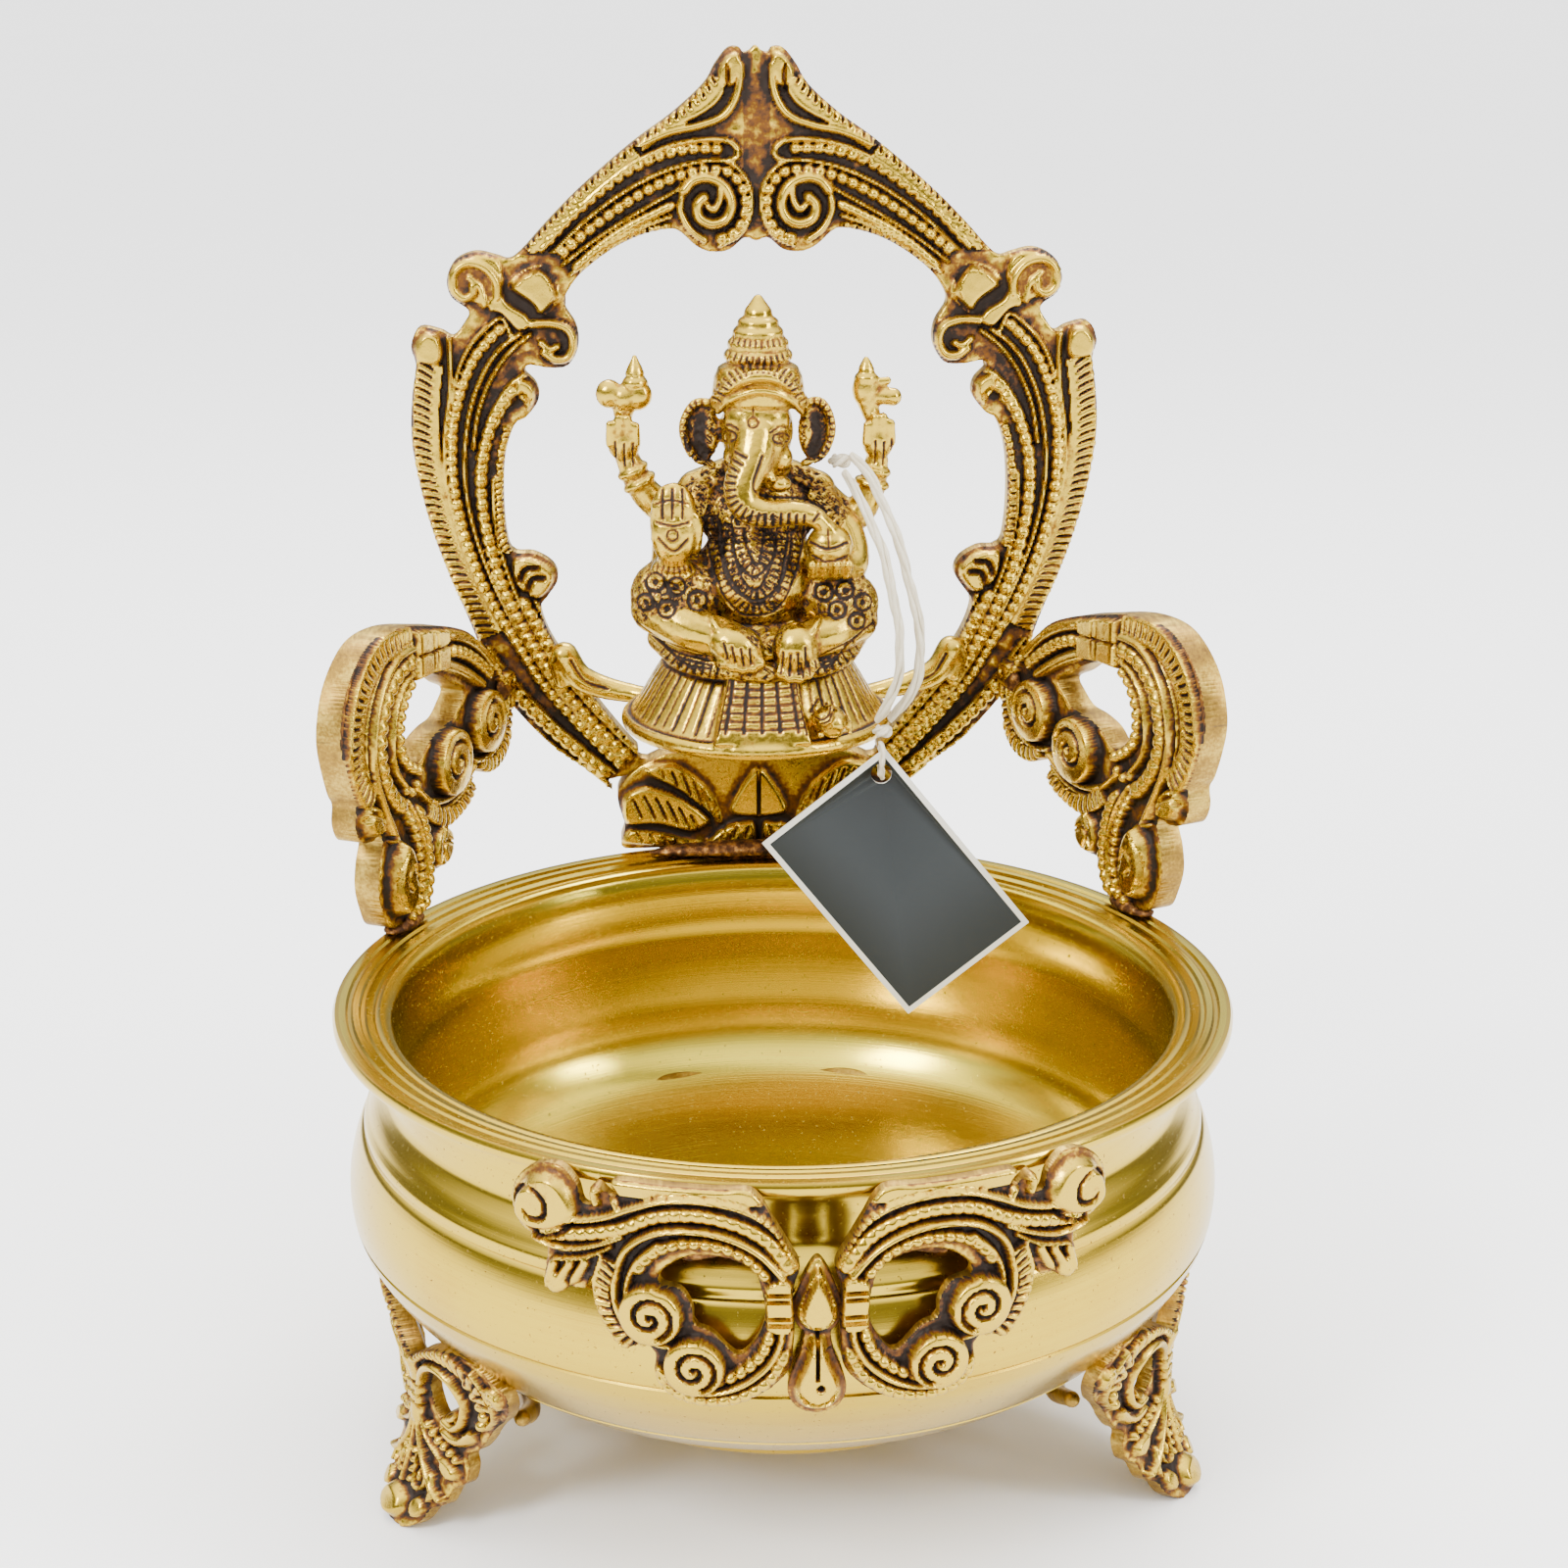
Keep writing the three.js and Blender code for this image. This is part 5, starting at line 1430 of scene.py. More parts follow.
        for _ in range(soften):
            at += (eased(at) - at) * 0.6
        mesh.vertices.foreach_set("co", (at * mm).ravel())
        mesh.update()
        face = np.array([v.vector[:] for v in mesh.vertex_normals])
        soft = at
        for _ in range(10):
            soft = eased(soft)
        hollow = ((soft - at) * face).sum(1) / self.voxel
        recess = np.clip(base + hollow * 0.55 * dirt, 0, 1.1)
        cuts = list(self.cuts)
        if self.seen:
            tree = BVHTree.FromPolygons([tuple(v) for v in at], [tuple(p.vertices) for p in mesh.polygons])
            eye = np.array(eyePoint)
            for line, width, depth in self.seen:
                hits = []
                for x, z in line:
                    aim = Vector((x, drawnPlane, z)) - Vector(eye)
                    hit = tree.ray_cast(Vector(eye), aim.normalized())[0]
                    if hit is not None:
                        hits.append(tuple(hit))
                cuts.append((np.array(hits).reshape(-1, 3), width, depth))
        push = np.zeros(n)
        for line, width, depth in cuts:
            if not len(line):
                continue
            low, high = line.min(0) - width, line.max(0) + width
            some = np.nonzero(((at >= low) & (at <= high)).all(1))[0]
            if not len(some):
                continue
            gap = np.full(len(some), 1e9)
            for k in range(0, len(line), 64):
                d = np.linalg.norm(at[some][:, None, :] - line[None, k:k + 64], axis=2).min(1)
                gap = np.minimum(gap, d)
            fall = np.clip(1 - (gap / (width * 0.62)) ** 2, 0, 1)
            if depth > 0:
                push[some] = np.minimum(push[some], -depth * fall)
                recess[some] = np.maximum(recess[some], fall * min(1.0, 0.45 + depth))
            else:
                push[some] = np.maximum(push[some], -depth * fall)
                recess[some] *= 1 - 0.7 * fall
        fuzz = eased(dice.normal(0, 1, (n, 1)))[:, 0]
        push += fuzz * grain
        for centre, radii, depth in self.rough:
            inside = (((at - centre) / radii) ** 2).sum(1) < 1
            pit = np.clip(fuzz * 1.7 - 0.15, 0, 1)
            push -= np.where(inside, pit * depth, 0)
            recess += np.where(inside, pit * 0.9 + 0.1, 0)
        at = at + face * push[:, None]
        mesh.vertices.foreach_set("co", (at * mm).ravel())
        for m in mats:
            mesh.materials.append(m)
        mesh.polygons.foreach_set("use_smooth", [True] * len(mesh.polygons))
        mesh.attributes.new("recess", "FLOAT", "POINT").data.foreach_set("value",
                np.clip(recess, 0, 1.2).astype(np.float32))
        mesh.update()
        obj = bpy.data.objects.new(self.name, mesh)
        bpy.context.scene.collection.objects.link(obj)
        return obj


# pedestal

bellSet = {"voxel": 0.5, "at": (-1.8, 70), "low": 147.5, "pleats": 56,
           "profile": [(31.4, 0), (32.6, 0.7), (33, 1.8), (32.8, 3), (31.8, 4), (30.6, 4.2), (29.8, 5),
                       (27.6, 8.6), (25.4, 12.4),
                       (23.4, 15.6), (22.6, 16.8), (22.2, 18), (21.6, 18.9), (20, 19)]}
bell = modelled("pedestal", bellSet["voxel"])
bell.lathe(bellSet["at"], [(r, bellSet["low"] + z) for r, z in bellSet["profile"]])
flap = [(-13.4, 151.4), (9.4, 151.4), (8.2, 156), (7, 161), (5.6, 169.6), (-9.6, 169.6), (-11, 161),
        (-12.4, 156)]
bell.slab(flap, 38.2, 50, 0.28)
bx, by = bellSet["at"]
for i in range(bellSet["pleats"]):
    a = math.radians(i * 360 / bellSet["pleats"])
    line = [(bx + r * math.sin(a + s), by - r * math.cos(a + s), bellSet["low"] + z) for r, z,
            s in ((29.8, 5, 0), (26.6, 10.2, 0.02), (23.2, 16, 0.05))]
    bell.cut(line, 1.0 if i % 2 else 0.7, 0.5 if i % 2 else 0.3)
for r, z in ((31, 4.1), (22.8, 16.6)):
    bell.cut([(bx + r * math.sin(t), by - r * math.cos(t), bellSet["low"] + z) for t in np.linspace(0,
            2 * math.pi, 60)], 1.1, 0.45)
# pleats and woven ticks on the hanging cloth
for k in np.linspace(-0.82, 0.82, 5):
    bell.draw([(-1.5 + k * 7.6, 167.4), (-1.5 + k * 10.6, 150.4)], 1.1, 0.6)
for k in np.linspace(-0.98, 0.98, 2):
    bell.draw([(-1.5 + k * 7.2, 168), (-1.5 + k * 11, 149.8)], 0.8, 0.5)
for z in np.arange(151.5, 167.5, 2.0):
    reach = 7.0 + (167 - z) * 0.22
    bell.draw([(-1.5 - reach, z), (-1.5, z - 0.5), (-1.5 + reach, z)], 0.8, 0.35)
bell.strokes([(11, 157), (16, 154.5), (20, 156)], 3.5, 2.2, 0.8, 0.5)
ride(bell.made([castGold], soften=1, dirt=0.8), ["pedestal"])

petSet = {"voxel": 0.36, "soften": 1}
pet = modelled("pedestalMouse", petSet["voxel"])
pet.ball((14, 43.6, 155.4), (4, 5, 3.8), (0, 0, 20))
pet.ball((12.2, 39.8, 157.6), (2.4, 2.8, 2.2))
pet.ball((11.6, 37.6, 157.2), (1.1, 1.4, 1.0))
pet.ball((10.6, 40.8, 159.4), (0.7, 1.1, 1.1))
pet.ball((13.8, 40.6, 159.4), (0.7, 1.1, 1.1))
pet.rod([(17, 46.4, 154.6), (18.6, 43, 155), (18.4, 39.8, 153.6)], (0.9, 0.7, 0.5), 8)
pet.ball((11.4, 39, 153.8), (1, 1.6, 0.9))
pet.loop(12.6, 155.8, 2.3, 0.7, 0.45)
pet.draw([(15.6, 156), (14.6, 153), (12, 152)], 0.8, 0.5)
ride(pet.made([castGold], soften=petSet["soften"]), ["pedestal_mouse"])
stage("pedestal modelled")


# seated figure, elephant-headed, four-armed

figureSet = {"voxel": 0.42, "soften": 2, "shade": 0.10, "pitting": 0.5}
fig = modelled("seatedFigure", figureSet["voxel"])
# lap, body and shoulders
fig.ball((-2, 65, 172), (24, 20, 8.2))
fig.ball((-2, 60, 187), (14.6, 14, 14.6))
fig.ball((-2, 63.6, 201), (14, 11, 10.6))
fig.rod([(-16, 65, 206.4), (-2, 66, 209.4), (12, 65, 206)], (5, 6.4, 5))
fig.ball((-2, 61, 213), (8, 8, 6))
# head, brow and trunk
fig.ball((-2.2, 58.4, 222), (8.6, 8.8, 9.8))
fig.ball((-2.4, 53.6, 225), (7.8, 5, 6))
fig.ball((-2.6, 52.6, 220), (6.6, 5.2, 8.4))
fig.ball((-7.4, 54.6, 216.4), (3, 3.6, 3.4))
fig.ball((3, 54.6, 215.8), (3, 3.6, 3.4))
fig.rod([(-2.8, 51.6, 222), (-3.9, 49, 216.8), (-6.4, 46.2, 211), (-5.4, 44.8, 206.8), (-0.6, 44.4, 205),
         (5, 44.6, 205.2), (9.8, 45, 204.2),
         (12.6, 45.4, 201.8)], (5.2, 4.9, 4.4, 3.9, 3.4, 3.1, 2.7, 2.3), 18)
fig.ball((13.2, 45.2, 201), (2.6, 2.4, 1.9))
fig.rod([(-0.4, 50, 214.6), (0.8, 47, 212.6)], (1.5, 1.0), 10)
fig.rod([(-7.8, 50.6, 214.6), (-9.2, 47.8, 211.8)], (1.3, 0.9), 10)
fig.ball((2.4, 50, 210.8), (3, 3, 2))
# ears
for s, x, w in ((-1, -15, 4.5), (1, 11.3, 4.1)):
    fig.ball((x, 60, 221.4), (w, 2.0, 7.2), (0, 0, s * 14))
    fig.rod([(x - s * 3.2, 58.6, 228), (x + s * 1.2, 58.2, 228.4), (x + s * w * 0.86, 58, 224.8),
             (x + s * w * 0.92, 58, 220.6),
             (x + s * w * 0.4, 58, 215.8), (x - s * 2.4, 58.2, 214)], 1.05, 10)
# crown
fig.lathe((-1.8, 59), [(9.6, 227.6), (10.6, 229), (10.7, 231), (10.2, 234.4), (9.2, 236.6), (7.4, 237.4),
                       (7.0, 237.9), (7.9, 238.4), (8.1, 239.4),
                       (7.6, 240.2), (6.5, 240.6), (7.0, 241.0), (7.2, 242.2), (6.6, 242.9), (5.4,
                               243.2), (5.9, 243.7), (6, 244.7),
                       (5.4, 245.4), (4.3, 245.7), (4.8, 246.1), (4.8, 247), (4.2, 247.7), (3.1,
                               248.0), (3.4, 248.5), (3.1, 249.6), (1.9, 251.2),
                       (1.0, 252.6), (0.4, 253.1)], 56)
fig.rod([(-12.2, 56, 228.8), (-9.6, 50.8, 232.8), (-5.8, 48.7, 235.2), (-2, 48.1, 236), (2, 48.7, 235.2),
         (5.8, 50.8, 232.6), (8.6, 56, 228.4)], 1.5, 12)
fig.rod([(-11.4, 54.6, 227), (-8.6, 50.6, 230.2), (-5.2, 48.9, 232), (-2, 48.4, 232.6), (1.6, 48.9, 232),
         (5, 50.6, 230), (8, 54.6, 226.6)], 0.9, 10)
# raised rear arms with their emblems
fig.rod([(-14, 66, 207), (-21.6, 63.6, 202.6), (-27, 62.4, 205.4), (-30.6, 62, 211), (-32.6, 62, 216)],
        (5, 4.6, 3.9, 3.3, 2.8))
fig.hoop((-29.5, 62.1, 209.2), 3.4, 0.9, (0, -30, 0))
fig.hoop((-31, 62, 212), 3.1, 0.9, (0, -26, 0))
fig.ball((-33, 60.8, 219), (4, 3, 4.6))
for dx, h in ((-3, 223.4), (-1.1, 225), (0.9, 224.8), (2.6, 223)):
    fig.rod([(-33 + dx, 59.4, 219), (-33 + dx * 1.05, 58.8, h)], (1.35, 1.05), 10)
fig.ball((-33, 61.4, 226), (2.4, 2.2, 3))
fig.ball((-36.2, 61, 230.2), (3.2, 2.8, 3.4))
fig.ball((-29.8, 61, 229.8), (3.6, 2.9, 3.6))
fig.ball((-33, 60.6, 229.2), (2.6, 2.8, 3.2))
fig.lathe((-30.2, 61), [(2.2, 231), (3.1, 232.6), (2.9, 233.4), (2.0, 234.2), (2.3, 234.8), (1.7, 236.4),
                        (0.9, 238), (0.4, 239.3)], 24)
fig.rod([(10.6, 66, 206.4), (17.8, 63.8, 201), (22.2, 62.6, 201.6), (25, 62, 207.4), (26.2, 62, 213.6)],
        (4.8, 4.4, 3.9, 3.3, 2.8))
fig.ball((21.8, 62, 199.8), (3.2, 3, 2.6))
fig.hoop((25.1, 62, 208.4), 3.4, 0.9, (0, 14, 0))
fig.hoop((25.7, 62, 211.4), 3.1, 0.9, (0, 12, 0))
fig.ball((26.3, 60.8, 218.6), (3.8, 3, 4.6))
for dx, h in ((-2.7, 222.6), (-0.9, 224.4), (1.0, 224.6), (2.8, 223)):
    fig.rod([(26.3 + dx, 59.4, 218.6), (26.3 + dx * 1.02, 58.8, h)], (1.3, 1.0), 10)
fig.rod([(25.4, 61.2, 223), (23.6, 61, 228)], (2.0, 2.4), 12)
fig.ball((23.2, 61, 230.6), (3.1, 2.8, 4.2))
fig.rod([(25, 60.8, 229), (29.6, 60.8, 228.8)], (1.8, 2.2), 10)
fig.rod([(24.6, 60.8, 232), (28.4, 60.8, 232.6)], (1.2, 1.0), 10)
fig.lathe((23.4, 61), [(2.2, 232), (2.9, 233.2), (2.6, 234), (1.8, 234.6), (2.0, 235.2), (1.3, 236.8),
                       (0.4, 238.3)], 24)
# front arms: open palm and the hand with a sweet
fig.rod([(-15, 63, 205), (-21.4, 59, 197.6), (-23.2, 54, 191.4), (-22.2, 49.6, 192.6), (-22, 48, 196)],
        (5.4, 5, 4.4, 3.9, 3.7))
fig.ball((-22, 47.2, 202.6), (5.6, 2.9, 9.4))
fig.ball((-22, 46.6, 206), (5.2, 2.9, 6.2))
fig.ball((-22.1, 45.8, 200), (5.3, 2.8, 7))
fig.rod([(-17.4, 47.6, 197), (-16.6, 46.6, 201.4), (-17.2, 46.2, 204)], (1.9, 1.6, 1.3), 10)
fig.hoop((-22.1, 48.6, 191.4), 4.2, 1.1, (14, 0, 0))
fig.rod([(12, 63, 204), (18.6, 59, 196.6), (19.6, 53.6, 190.8), (15.4, 50, 191.4)], (5.2, 4.8, 4.2, 3.8))
fig.ball((13.9, 46.6, 196.8), (5.5, 4.8, 5.3))
fig.ball((13.9, 48.6, 192.4), (5.6, 4.6, 3.4))
for dx in (-3.9, -1.4, 1.2, 3.8):
    fig.rod([(13.9 + dx, 45.4, 190.4), (13.9 + dx * 1.1, 42.6, 193.4)], (1.4, 1.1), 10)
# folded legs and feet
fig.rod([(-8, 64, 181), (-18, 58, 184.6), (-24, 52.6, 184.4)], (9, 9.6, 8.4))
fig.rod([(-26, 52, 181.6), (-18, 46.6, 177.6), (-9.4, 44.6, 175.4)], (6.4, 5.6, 4.4))
fig.ball((-8, 42.6, 174.4), (7, 5.4, 5), (0, 24, 0))
for x, z in ((-11.2, 170.6), (-8.9, 169.7), (-6.6, 169.2), (-4.4, 169.4), (-2.8, 170.4)):
    fig.ball((x, 40.2, z + 0.5), (1.7, 1.9, 1.6), fine=12)
fig.rod([(5, 64, 180), (13.6, 58, 182.4), (18.4, 52.6, 181.6)], (9, 9, 7.8))
fig.rod([(20, 52, 178), (14, 46.6, 176), (8, 44.6, 175)], (6, 5.2, 4.2))
fig.ball((5.8, 42.6, 173.6), (5.6, 5.3, 6.2))
for x, z in ((2.2, 168), (4.2, 166.9), (6.4, 166.8), (8.4, 167.8), (9.8, 169.8)):
    fig.ball((x, 40.2, z + 0.5), (1.6, 1.9, 1.7), fine=12)
fig.hoop((-12.4, 45, 176.8), 4.6, 0.8, (0, 70, 10))
fig.hoop((9.6, 45, 176.4), 4.3, 0.8, (0, -64, -10))
# cloth rolled round the lap
fig.rod([(-25, 60, 172), (-20, 50, 169.6), (-13, 45.6, 168.2)], (3.4, 3.2, 2.6))
fig.rod([(21, 60, 172), (17, 50, 169.6), (11, 45.6, 168.2)], (3.4, 3.2, 2.6))
fig.rod([(-10, 44.6, 168), (-2, 42.8, 167.6), (6, 44.6, 168)], (2.4, 2.4, 2.4))
for side in (-1, 1):
    fig.strokes([(-2 + side * 23, 171), (-2 + side * 17, 167.2), (-2 + side * 10, 165.6)], 3.4, 1.7, 0.7,
                0.5)
# face
for x, z in ((-9.3, 221.6), (3.2, 221)):
    fig.loop(x, z, 1.9, 0.75, 0.5, 0.62)
    fig.loop(x, z, 0.5, 0.6, 0.4)
    fig.draw([(x - 2.6, z + 1.4), (x, z + 2.7), (x + 2.4, z + 1.6)], 0.7, 0.4)
fig.loop(-3.4, 224.8, 1.2, 0.6, 0.45)
fig.draw([(-3.3, 226.6), (-3.3, 228.2)], 0.6, 0.4)
trunkLine = [(-6.6, 217.4), (-9.4, 211.6), (-8.4, 205.4), (-3, 202), (3, 201.6), (8.4, 201.2)]
fig.strokes(trunkLine, 3.4, 1.75, 0.75, 0.55)
fig.draw([(-1.2, 217), (-3.2, 211), (-2.4, 208.4), (2, 207.4), (8, 207), (12.6, 204.4)], 0.8, 0.5)
fig.draw([(10.6, 201.4), (12, 203.4)], 0.8, 0.5)
# crown ticks
fig.strokes([(-12, 230.2), (-9, 234.6), (-5, 237), (-1.6, 237.6), (2, 236.8), (5.6, 234.2), (8.4, 229.8)],
            2.6, 1.5, 0.7, 0.5)
fig.strokes([(-9, 240.2), (-5.6, 239.2), (-2, 238.9), (2, 239.2), (5, 240.2)], 1.7, 1.35, 0.65, 0.45)
fig.strokes([(-8, 243.8), (-5, 242.9), (-2, 242.7), (1.4, 242.9), (4, 243.8)], 1.5, 1.3, 0.6, 0.4)
# ears: inner hollow and rim ticks
for s, x in ((-1, -15.4), (1, 11)):
    fig.draw([(x, 226), (x + s * 0.6, 222), (x - s * 0.6, 218)], 3.2, 0.5)
    fig.strokes([(x - s * 2, 229.4), (x + s * 2, 229), (x + s * 4, 224.6), (x + s * 3.6, 219.6),
                 (x + s * 1, 216)], 2.0, 1.5, 0.6, 0.45)
# chains on the chest, bead ticks and cords
chains = [
    ([(-13.2, 203), (-12.6, 195), (-10.4, 187), (-6.4, 181.8), (-3, 180.4), (0.6, 181.8), (4.4, 187), (6.4, 194),
      (7, 199)], 2.2, -0.9),
    ([(-9.8, 201), (-9.2, 194), (-7, 187.2), (-3, 184), (0.8, 187), (2.8, 194), (3.4, 199)], 1.9, -0.8),
    ([(-7, 200), (-6.4, 194.6), (-3, 189.8), (0, 194.4), (0.6, 199)], 1.6, -0.7),
]
for line, width, depth in chains:
    fig.draw(line, width, depth)
    fig.strokes(line, width * 0.95, 1.5, 0.6, 0.45)
    for side in (-1, 1):
        # a thin groove along each border of the chain, either side of the middle at x = -3
        fig.draw([(x + side * (1.35 if abs(x + 3) > 2.4 else 0.4) * (1 if x > -3 else -1),
                   z + (-1.35 * side if abs(x + 3) < 4 else 0)) for x, z in line], 0.7, 0.55)
# hands: fingers, palm mark, wrist
for x in (-24.6, -22.2, -19.8):
    fig.draw([(x, 202.6), (x + 0.1, 209.6)], 0.7, 0.6)
fig.draw([(-26, 201.8), (-22, 200.8), (-18.4, 201.6)], 0.7, 0.5)
fig.draw([(-26.4, 206), (-22.2, 206.9), (-18.4, 206)], 0.6, 0.4)
fig.draw([(-25.6, 198), (-22, 194.8), (-18.6, 197.6)], 0.7, 0.4)
fig.loop(-22.2, 198.6, 1.3, 0.6, 0.4)
fig.strokes([(-26, 190.8), (-22, 189.8), (-18, 190.8)], 2.0, 1.3, 0.6, 0.4)
fig.draw([(9.6, 196.6), (14, 194.8), (18.8, 196.4)], 0.8, 0.6)
fig.draw([(10.2, 193.2), (14, 191.8), (18.6, 193)], 0.7, 0.5)
fig.draw([(14, 199.6), (14.2, 195.2)], 0.6, 0.4)
for x, z in ((-35, 215.6), (-33, 215), (-31, 215.2), (24.8, 215), (26.8, 214.8), (28.6, 215.4)):
    fig.draw([(x, z), (x * 1.002, z + 5)], 0.6, 0.5)
# flowers on the knees and folds of the cloth
for x, z, r in ((-26.4, 187.6, 2.2), (-21.4, 186.4, 2.1), (-16.4, 183, 2.2), (-28.8, 182.8, 1.9),
                (-23.8, 181, 2.0), (13, 184.6, 2.1),
                (18, 185, 2.1), (22.4, 182, 2.0), (16.2, 180.2, 2.0), (21, 177.4, 1.9)):
    fig.loop(x, z, r, 0.95, 0.6)
    fig.loop(x, z, r * 0.6, 0.8, -0.5)
    fig.loop(x, z, r * 0.2, 0.7, 0.45)
for shift in (0, 2.1, 4.2, 6.3):
    fig.draw([(-31 + shift, 178 - shift * 0.8), (-24 + shift * 0.6, 173 - shift * 0.8),
              (-14, 169.5 - shift * 0.5)], 0.75, 0.5)
    fig.draw([(25 - shift, 177 - shift * 0.8), (19 - shift * 0.6, 172.4 - shift * 0.8),
              (12, 169 - shift * 0.5)], 0.75, 0.5)
for x, z, tx, tz in ((-10.6, 172.6, -9.6, 168.6), (-8.6, 171.6, -7.8, 167.6), (-6.4, 171, -5.8, 167),
                     (-4.2, 171, -4, 167.4),
                     (3.4, 170, 3, 165), (5.2, 169.4, 5, 164.4), (7, 169.6, 7.2, 164.8), (8.8, 171, 9,
                             166.4)):
    fig.draw([(x, z), (tx, tz)], 0.75, 0.6)
for centre, radii in (((-15, 56, 198), (5.6, 10, 9)), ((11, 56, 203), (6, 12, 7)), ((-2, 48, 196),
        (11, 12, 12)), ((-2, 46, 178), (8, 8, 6)),
                      ((-13, 56, 211), (8, 8, 6)), ((10, 56, 211), (7, 8, 5)),
                      ((-2, 61, 199), (23, 10.5, 14)), ((-22, 53, 184), (13, 9, 9)), ((17, 53, 181),
                              (11, 9, 9)), ((-15, 59, 221), (5, 4, 7)),
                      ((11, 59, 221), (5, 4, 7)), ((-2, 52, 168), (24, 12, 6))):
    fig.rough.append((np.array(centre, float), np.array(radii, float), figureSet["pitting"]))
figurePiece = fig.made([castGold], soften=figureSet["soften"], base=figureSet["shade"])
ride(figurePiece, ["seated_figure"])
stage(f"figure modelled, {len(figurePiece.data.polygons)} faces")


# webs that carry the pedestal, struts of the feet and the joint metal

webSet = {"voxel": 0.5, "radii": (3.6, 3.4, 2.9, 2.4, 2.2), "footRadii": (3.0, 2.2), "groove": (0.9, 0.5)}
for name, s in (("left", -1), ("right", 1)):
    web = modelled(f"figureBracket_{name}", webSet["voxel"])
    web.rod([(s * 48.6, 93.4, 159), (s * 45, 93, 153.6), (s * 38.6, 92.4, 150.8), (s * 31, 90.4, 149.6),
             (s * 25, 87, 149.4)],
            webSet["radii"])
    web.rod([(s * 50, 93.6, 157), (s * 49.4, 93.6, 152.6)], webSet["footRadii"])
    web.cut([(s * 47, 90.2, 158.6), (s * 43.6, 90, 153.4), (s * 38, 89.6, 151.2)], *webSet["groove"])
    ride(web.made([castGold]), [f"figure_bracket_{name}"])

strutSet = {"voxel": 0.5, "radii": (1.9, 2.5, 2.7, 2.5, 1.9), "flat": 0.9,
            "line": [(-23, -76, 30.4), (-12, -69.4, 25.2), (0, -66.4, 24.2), (12, -69.4, 25.2),
                     (23, -76, 30.4)]}
for name, degrees in footSet["places"].items():
    strut = modelled(f"footStrut_{name}", strutSet["voxel"])
    strut.rod(turnedBy(strutSet["line"], (0, 0, degrees)), strutSet["radii"], flat=strutSet["flat"])
    ride(strut.made([edgeGold], dirt=0.5), [f"foot_strut_{name}"])

jointSet = {"voxel": 0.45, "soften": 5, "grain": 0.16}
bothSides = ("_left", "_right")
for piece, node, ends in (("frontBraze", "front_braze", bothSides), ("archBraze", "arch_braze", ("",)),
                          ("scrollRimBraze", "scroll_rim_braze", bothSides), ("scrollArchBraze",
                                  "scroll_arch_braze", bothSides)):
    for end in ends:
        source = bpy.data.objects[node + end]
        pad = modelled(piece + end, jointSet["voxel"])
        pad.add([tuple(source.matrix_world @ v.co / mm) for v in source.data.vertices],
                [tuple(p.vertices) for p in source.data.polygons])
        ride(pad.made([braze], soften=jointSet["soften"], grain=jointSet["grain"]), [node + end])
stage("webs, struts and joints modelled")


# swing card

cardSet = {"turn": -38.5, "hole": (26.2, 43.6, 142.4), "edge": 4.4, "size": (37, 57), "thick": 0.6,
           "border": 1.3, "holeRadius": 2.5}
cardDark = cardFace("cardDark", (0.016, 0.020, 0.021), (0.028, 0.032, 0.033))
cardPale = cardFace("cardPale", (0.80, 0.79, 0.72), (0.72, 0.70, 0.62))


def makeCard(c):
    e, (w, l), b = c["edge"], c["size"], c["border"]
    outer = [(e - w, e), (e - w, e - l), (e, e - l), (e, e)]
    inner = [(e - w + b, e - b), (e - w + b, e - l + b), (e - b, e - l + b), (e - b, e - b)]
    girth = [(c["holeRadius"] * math.cos(a), c["holeRadius"] * math.sin(a)) for a in np.linspace(0,
            2 * math.pi, 28, endpoint=False)]
    flat = [Vector(p) for p in outer + inner + girth]

    def chain(a, n):
        return [(a + i, a + (i + 1) % n) for i in range(n)]

    pts, _, tris = delaunay_2d_cdt(flat, chain(0, 4) + chain(4, 4) + chain(8, 28), [], 1, 1e-6)[:3]
    keep, kind = [], []
    for t in tris:
        x, z = (sum(pts[i].x for i in t) / 3, sum(pts[i].y for i in t) / 3)
        if math.hypot(x, z) < c["holeRadius"] * 0.97:
            continue
        keep.append(tuple(t))
        kind.append(0 if e - w + b < x < e - b and e - l + b < z < e - b else 1)
    turn = Matrix.Rotation(math.radians(c["turn"]), 3, "Y")
    spot = Vector(c["hole"])

    def place(x, y, z):
        return tuple((turn @ Vector((x, y, z)) + spot) * mm)

    half = c["thick"] / 2
    verts = [place(p.x, -half, p.y) for p in pts] + [place(p.x, half, p.y) for p in pts]
    n = len(pts)
    faces = keep + [tuple(i + n for i in reversed(t)) for t in keep]
    kinds = kind + kind
    for loop in (chain(0, 4), chain(8, 28)):
        for i, j in loop:
            faces.append((i, j, j + n, i + n))
            kinds.append(1)
    return facedOut(newPiece("swingCard", verts, faces, [cardDark, cardPale], kinds, smooth=30))


cardPiece = makeCard(cardSet)
ride(cardPiece, ["tag_card"], "tag")
stage("card made")


# floor, lights and the end

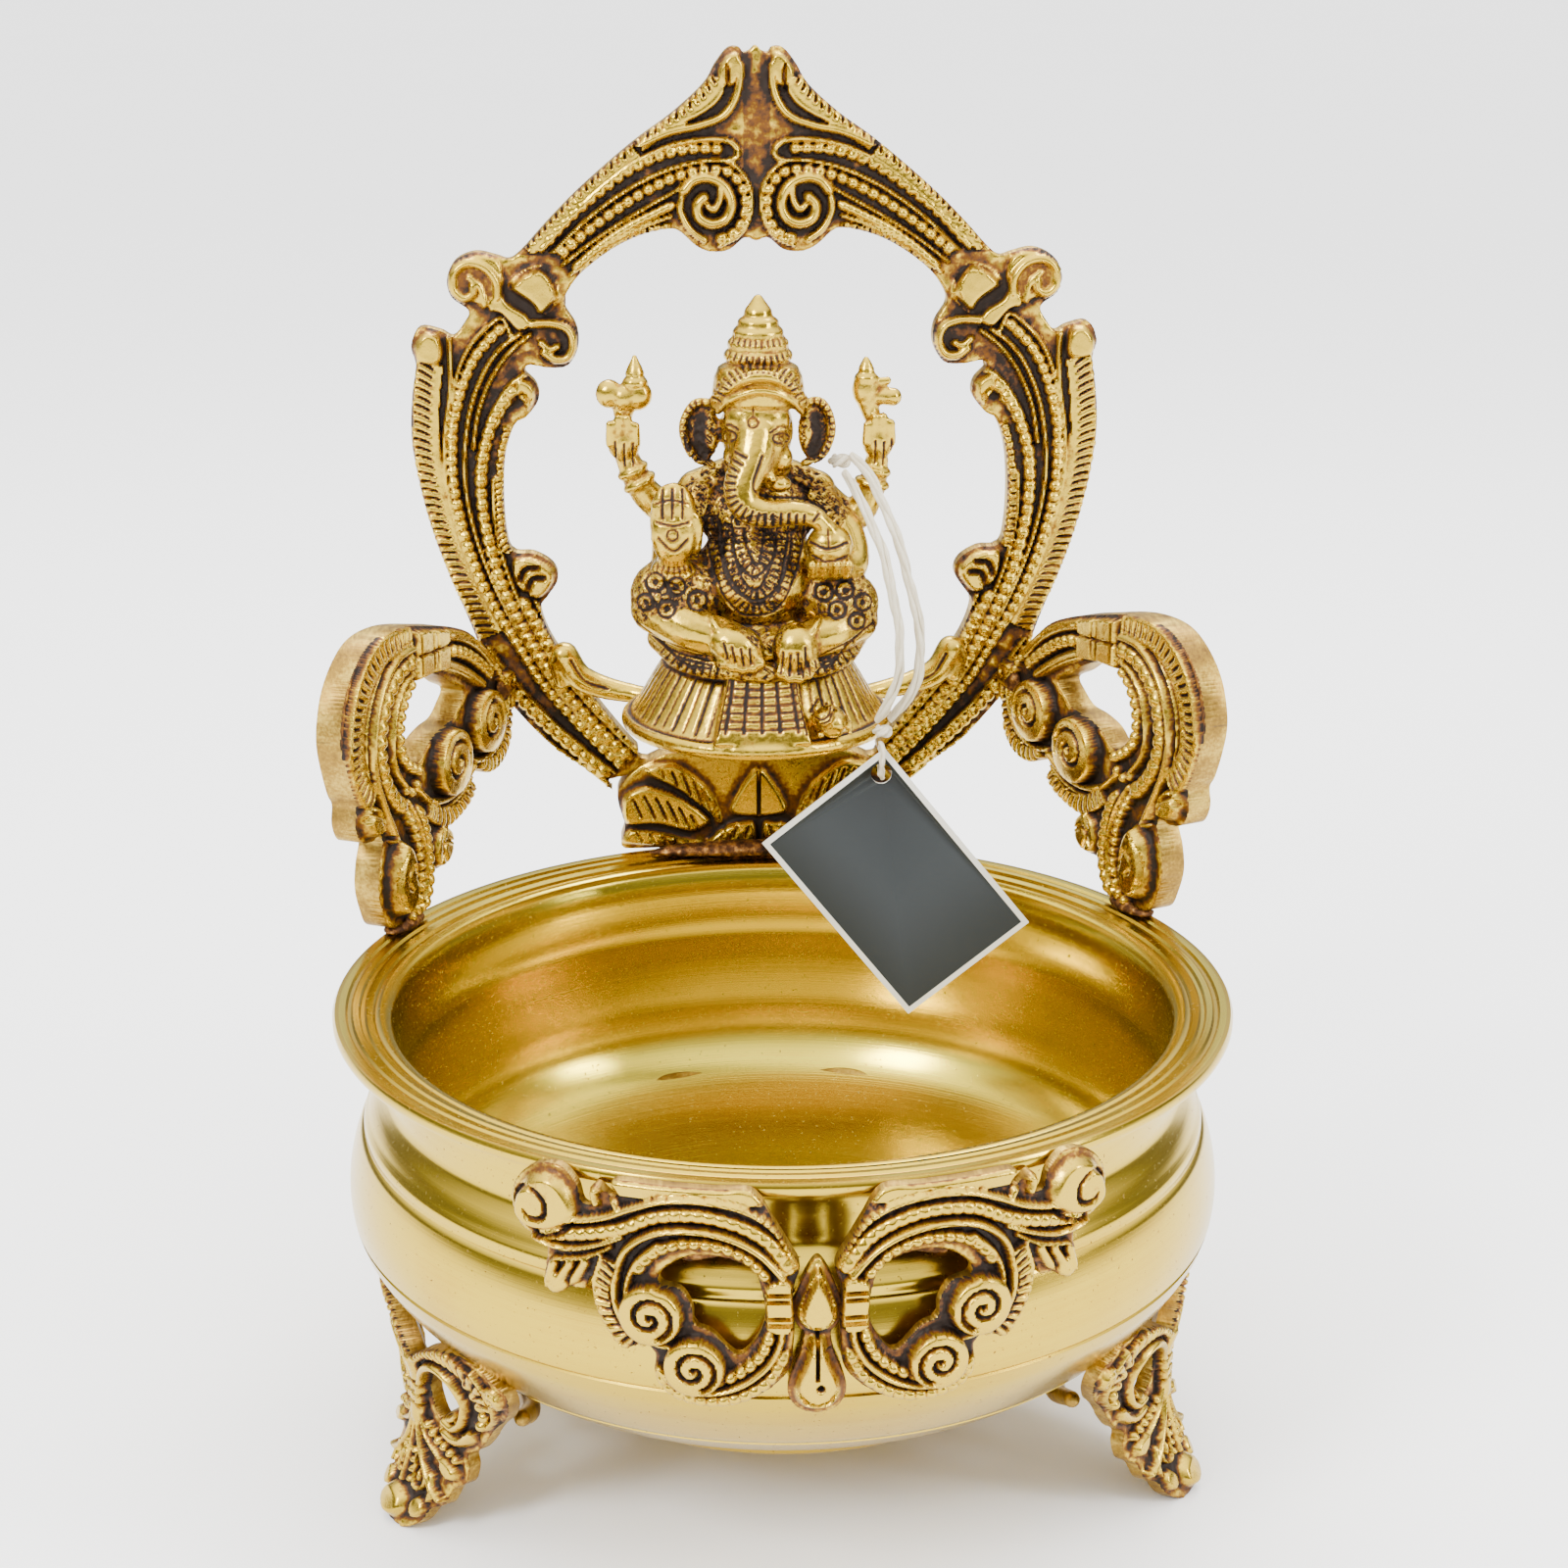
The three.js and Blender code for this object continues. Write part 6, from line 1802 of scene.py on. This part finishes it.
studioSet = {
    "floor": 60.0,
    "sky": [(0.0, 1.5), (0.49, 1.5), (0.53, 0.30), (0.63, 0.30), (0.77, 2.2), (1.0, 4.8)],
    "aim": (0, 0, 0.15),
    "lights": {"keyLeft": ((-0.9, -0.9, 1.1), (0.35, 0.5), 26), "fillRight": ((1.1, -0.6, 0.7), (0.25, 0.7),
            14),
               "topRear": ((0.1, 0.7, 1.2), (0.8, 0.3), 14)},
}


def makeFloor():
    size = studioSet["floor"]
    verts = [(-size, -size, 0), (size, -size, 0), (size, size, 0), (-size, size, 0)]
    floor = newPiece("floor", verts, [(0, 1, 2, 3)], [])
    f = finish("paleFloor")
    cloud = f.noise(f.place(), 1.2, 2, 0.5)
    floor.data.materials.append(f.set(Base_Color=f.blend(cloud, (0.94, 0.94, 0.94, 1),
                                                         (0.97, 0.97, 0.97, 1)), Roughness=0.9))
    floor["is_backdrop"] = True


def softLight(name, place, size, power):
    data = bpy.data.lights.new(name, "AREA")
    data.shape = "RECTANGLE"
    data.size, data.size_y = size
    data.energy = power
    lamp = bpy.data.objects.new(name, data)
    lamp.location = place
    lamp.rotation_euler = (Vector(place) - Vector(studioSet["aim"])).to_track_quat("Z", "Y").to_euler()
    bpy.context.scene.collection.objects.link(lamp)


def makeWorld():
    world = bpy.data.worlds.new("studio")
    bpy.context.scene.world = world
    world.use_nodes = True
    tree = world.node_tree
    sky = tree.nodes["Background"]
    where = tree.nodes.new("ShaderNodeTexCoord")
    parts = tree.nodes.new("ShaderNodeSeparateXYZ")
    ramp = tree.nodes.new("ShaderNodeValToRGB")
    lift = tree.nodes.new("ShaderNodeMapRange")
    lift.inputs["From Min"].default_value = -1
    tree.links.new(where.outputs["Generated"], parts.inputs[0])
    tree.links.new(parts.outputs["Z"], lift.inputs[0])
    tree.links.new(lift.outputs[0], ramp.inputs[0])
    tree.links.new(ramp.outputs[0], sky.inputs[0])
    stops = studioSet["sky"]
    while len(ramp.color_ramp.elements) < len(stops):
        ramp.color_ramp.elements.new(1)
    for element, (place, v) in zip(ramp.color_ramp.elements, stops):
        element.position = place
        element.color = (v, v, v, 1)
    sky.inputs["Strength"].default_value = 1.0


makeFloor()
makeWorld()
for name, (place, size, power) in studioSet["lights"].items():
    softLight(name, place, size, power)
stage("lit")

size = {"cad": [list(map(float, p)) for p in cadBounds],
        "visual": [list(map(float, p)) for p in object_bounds()]}
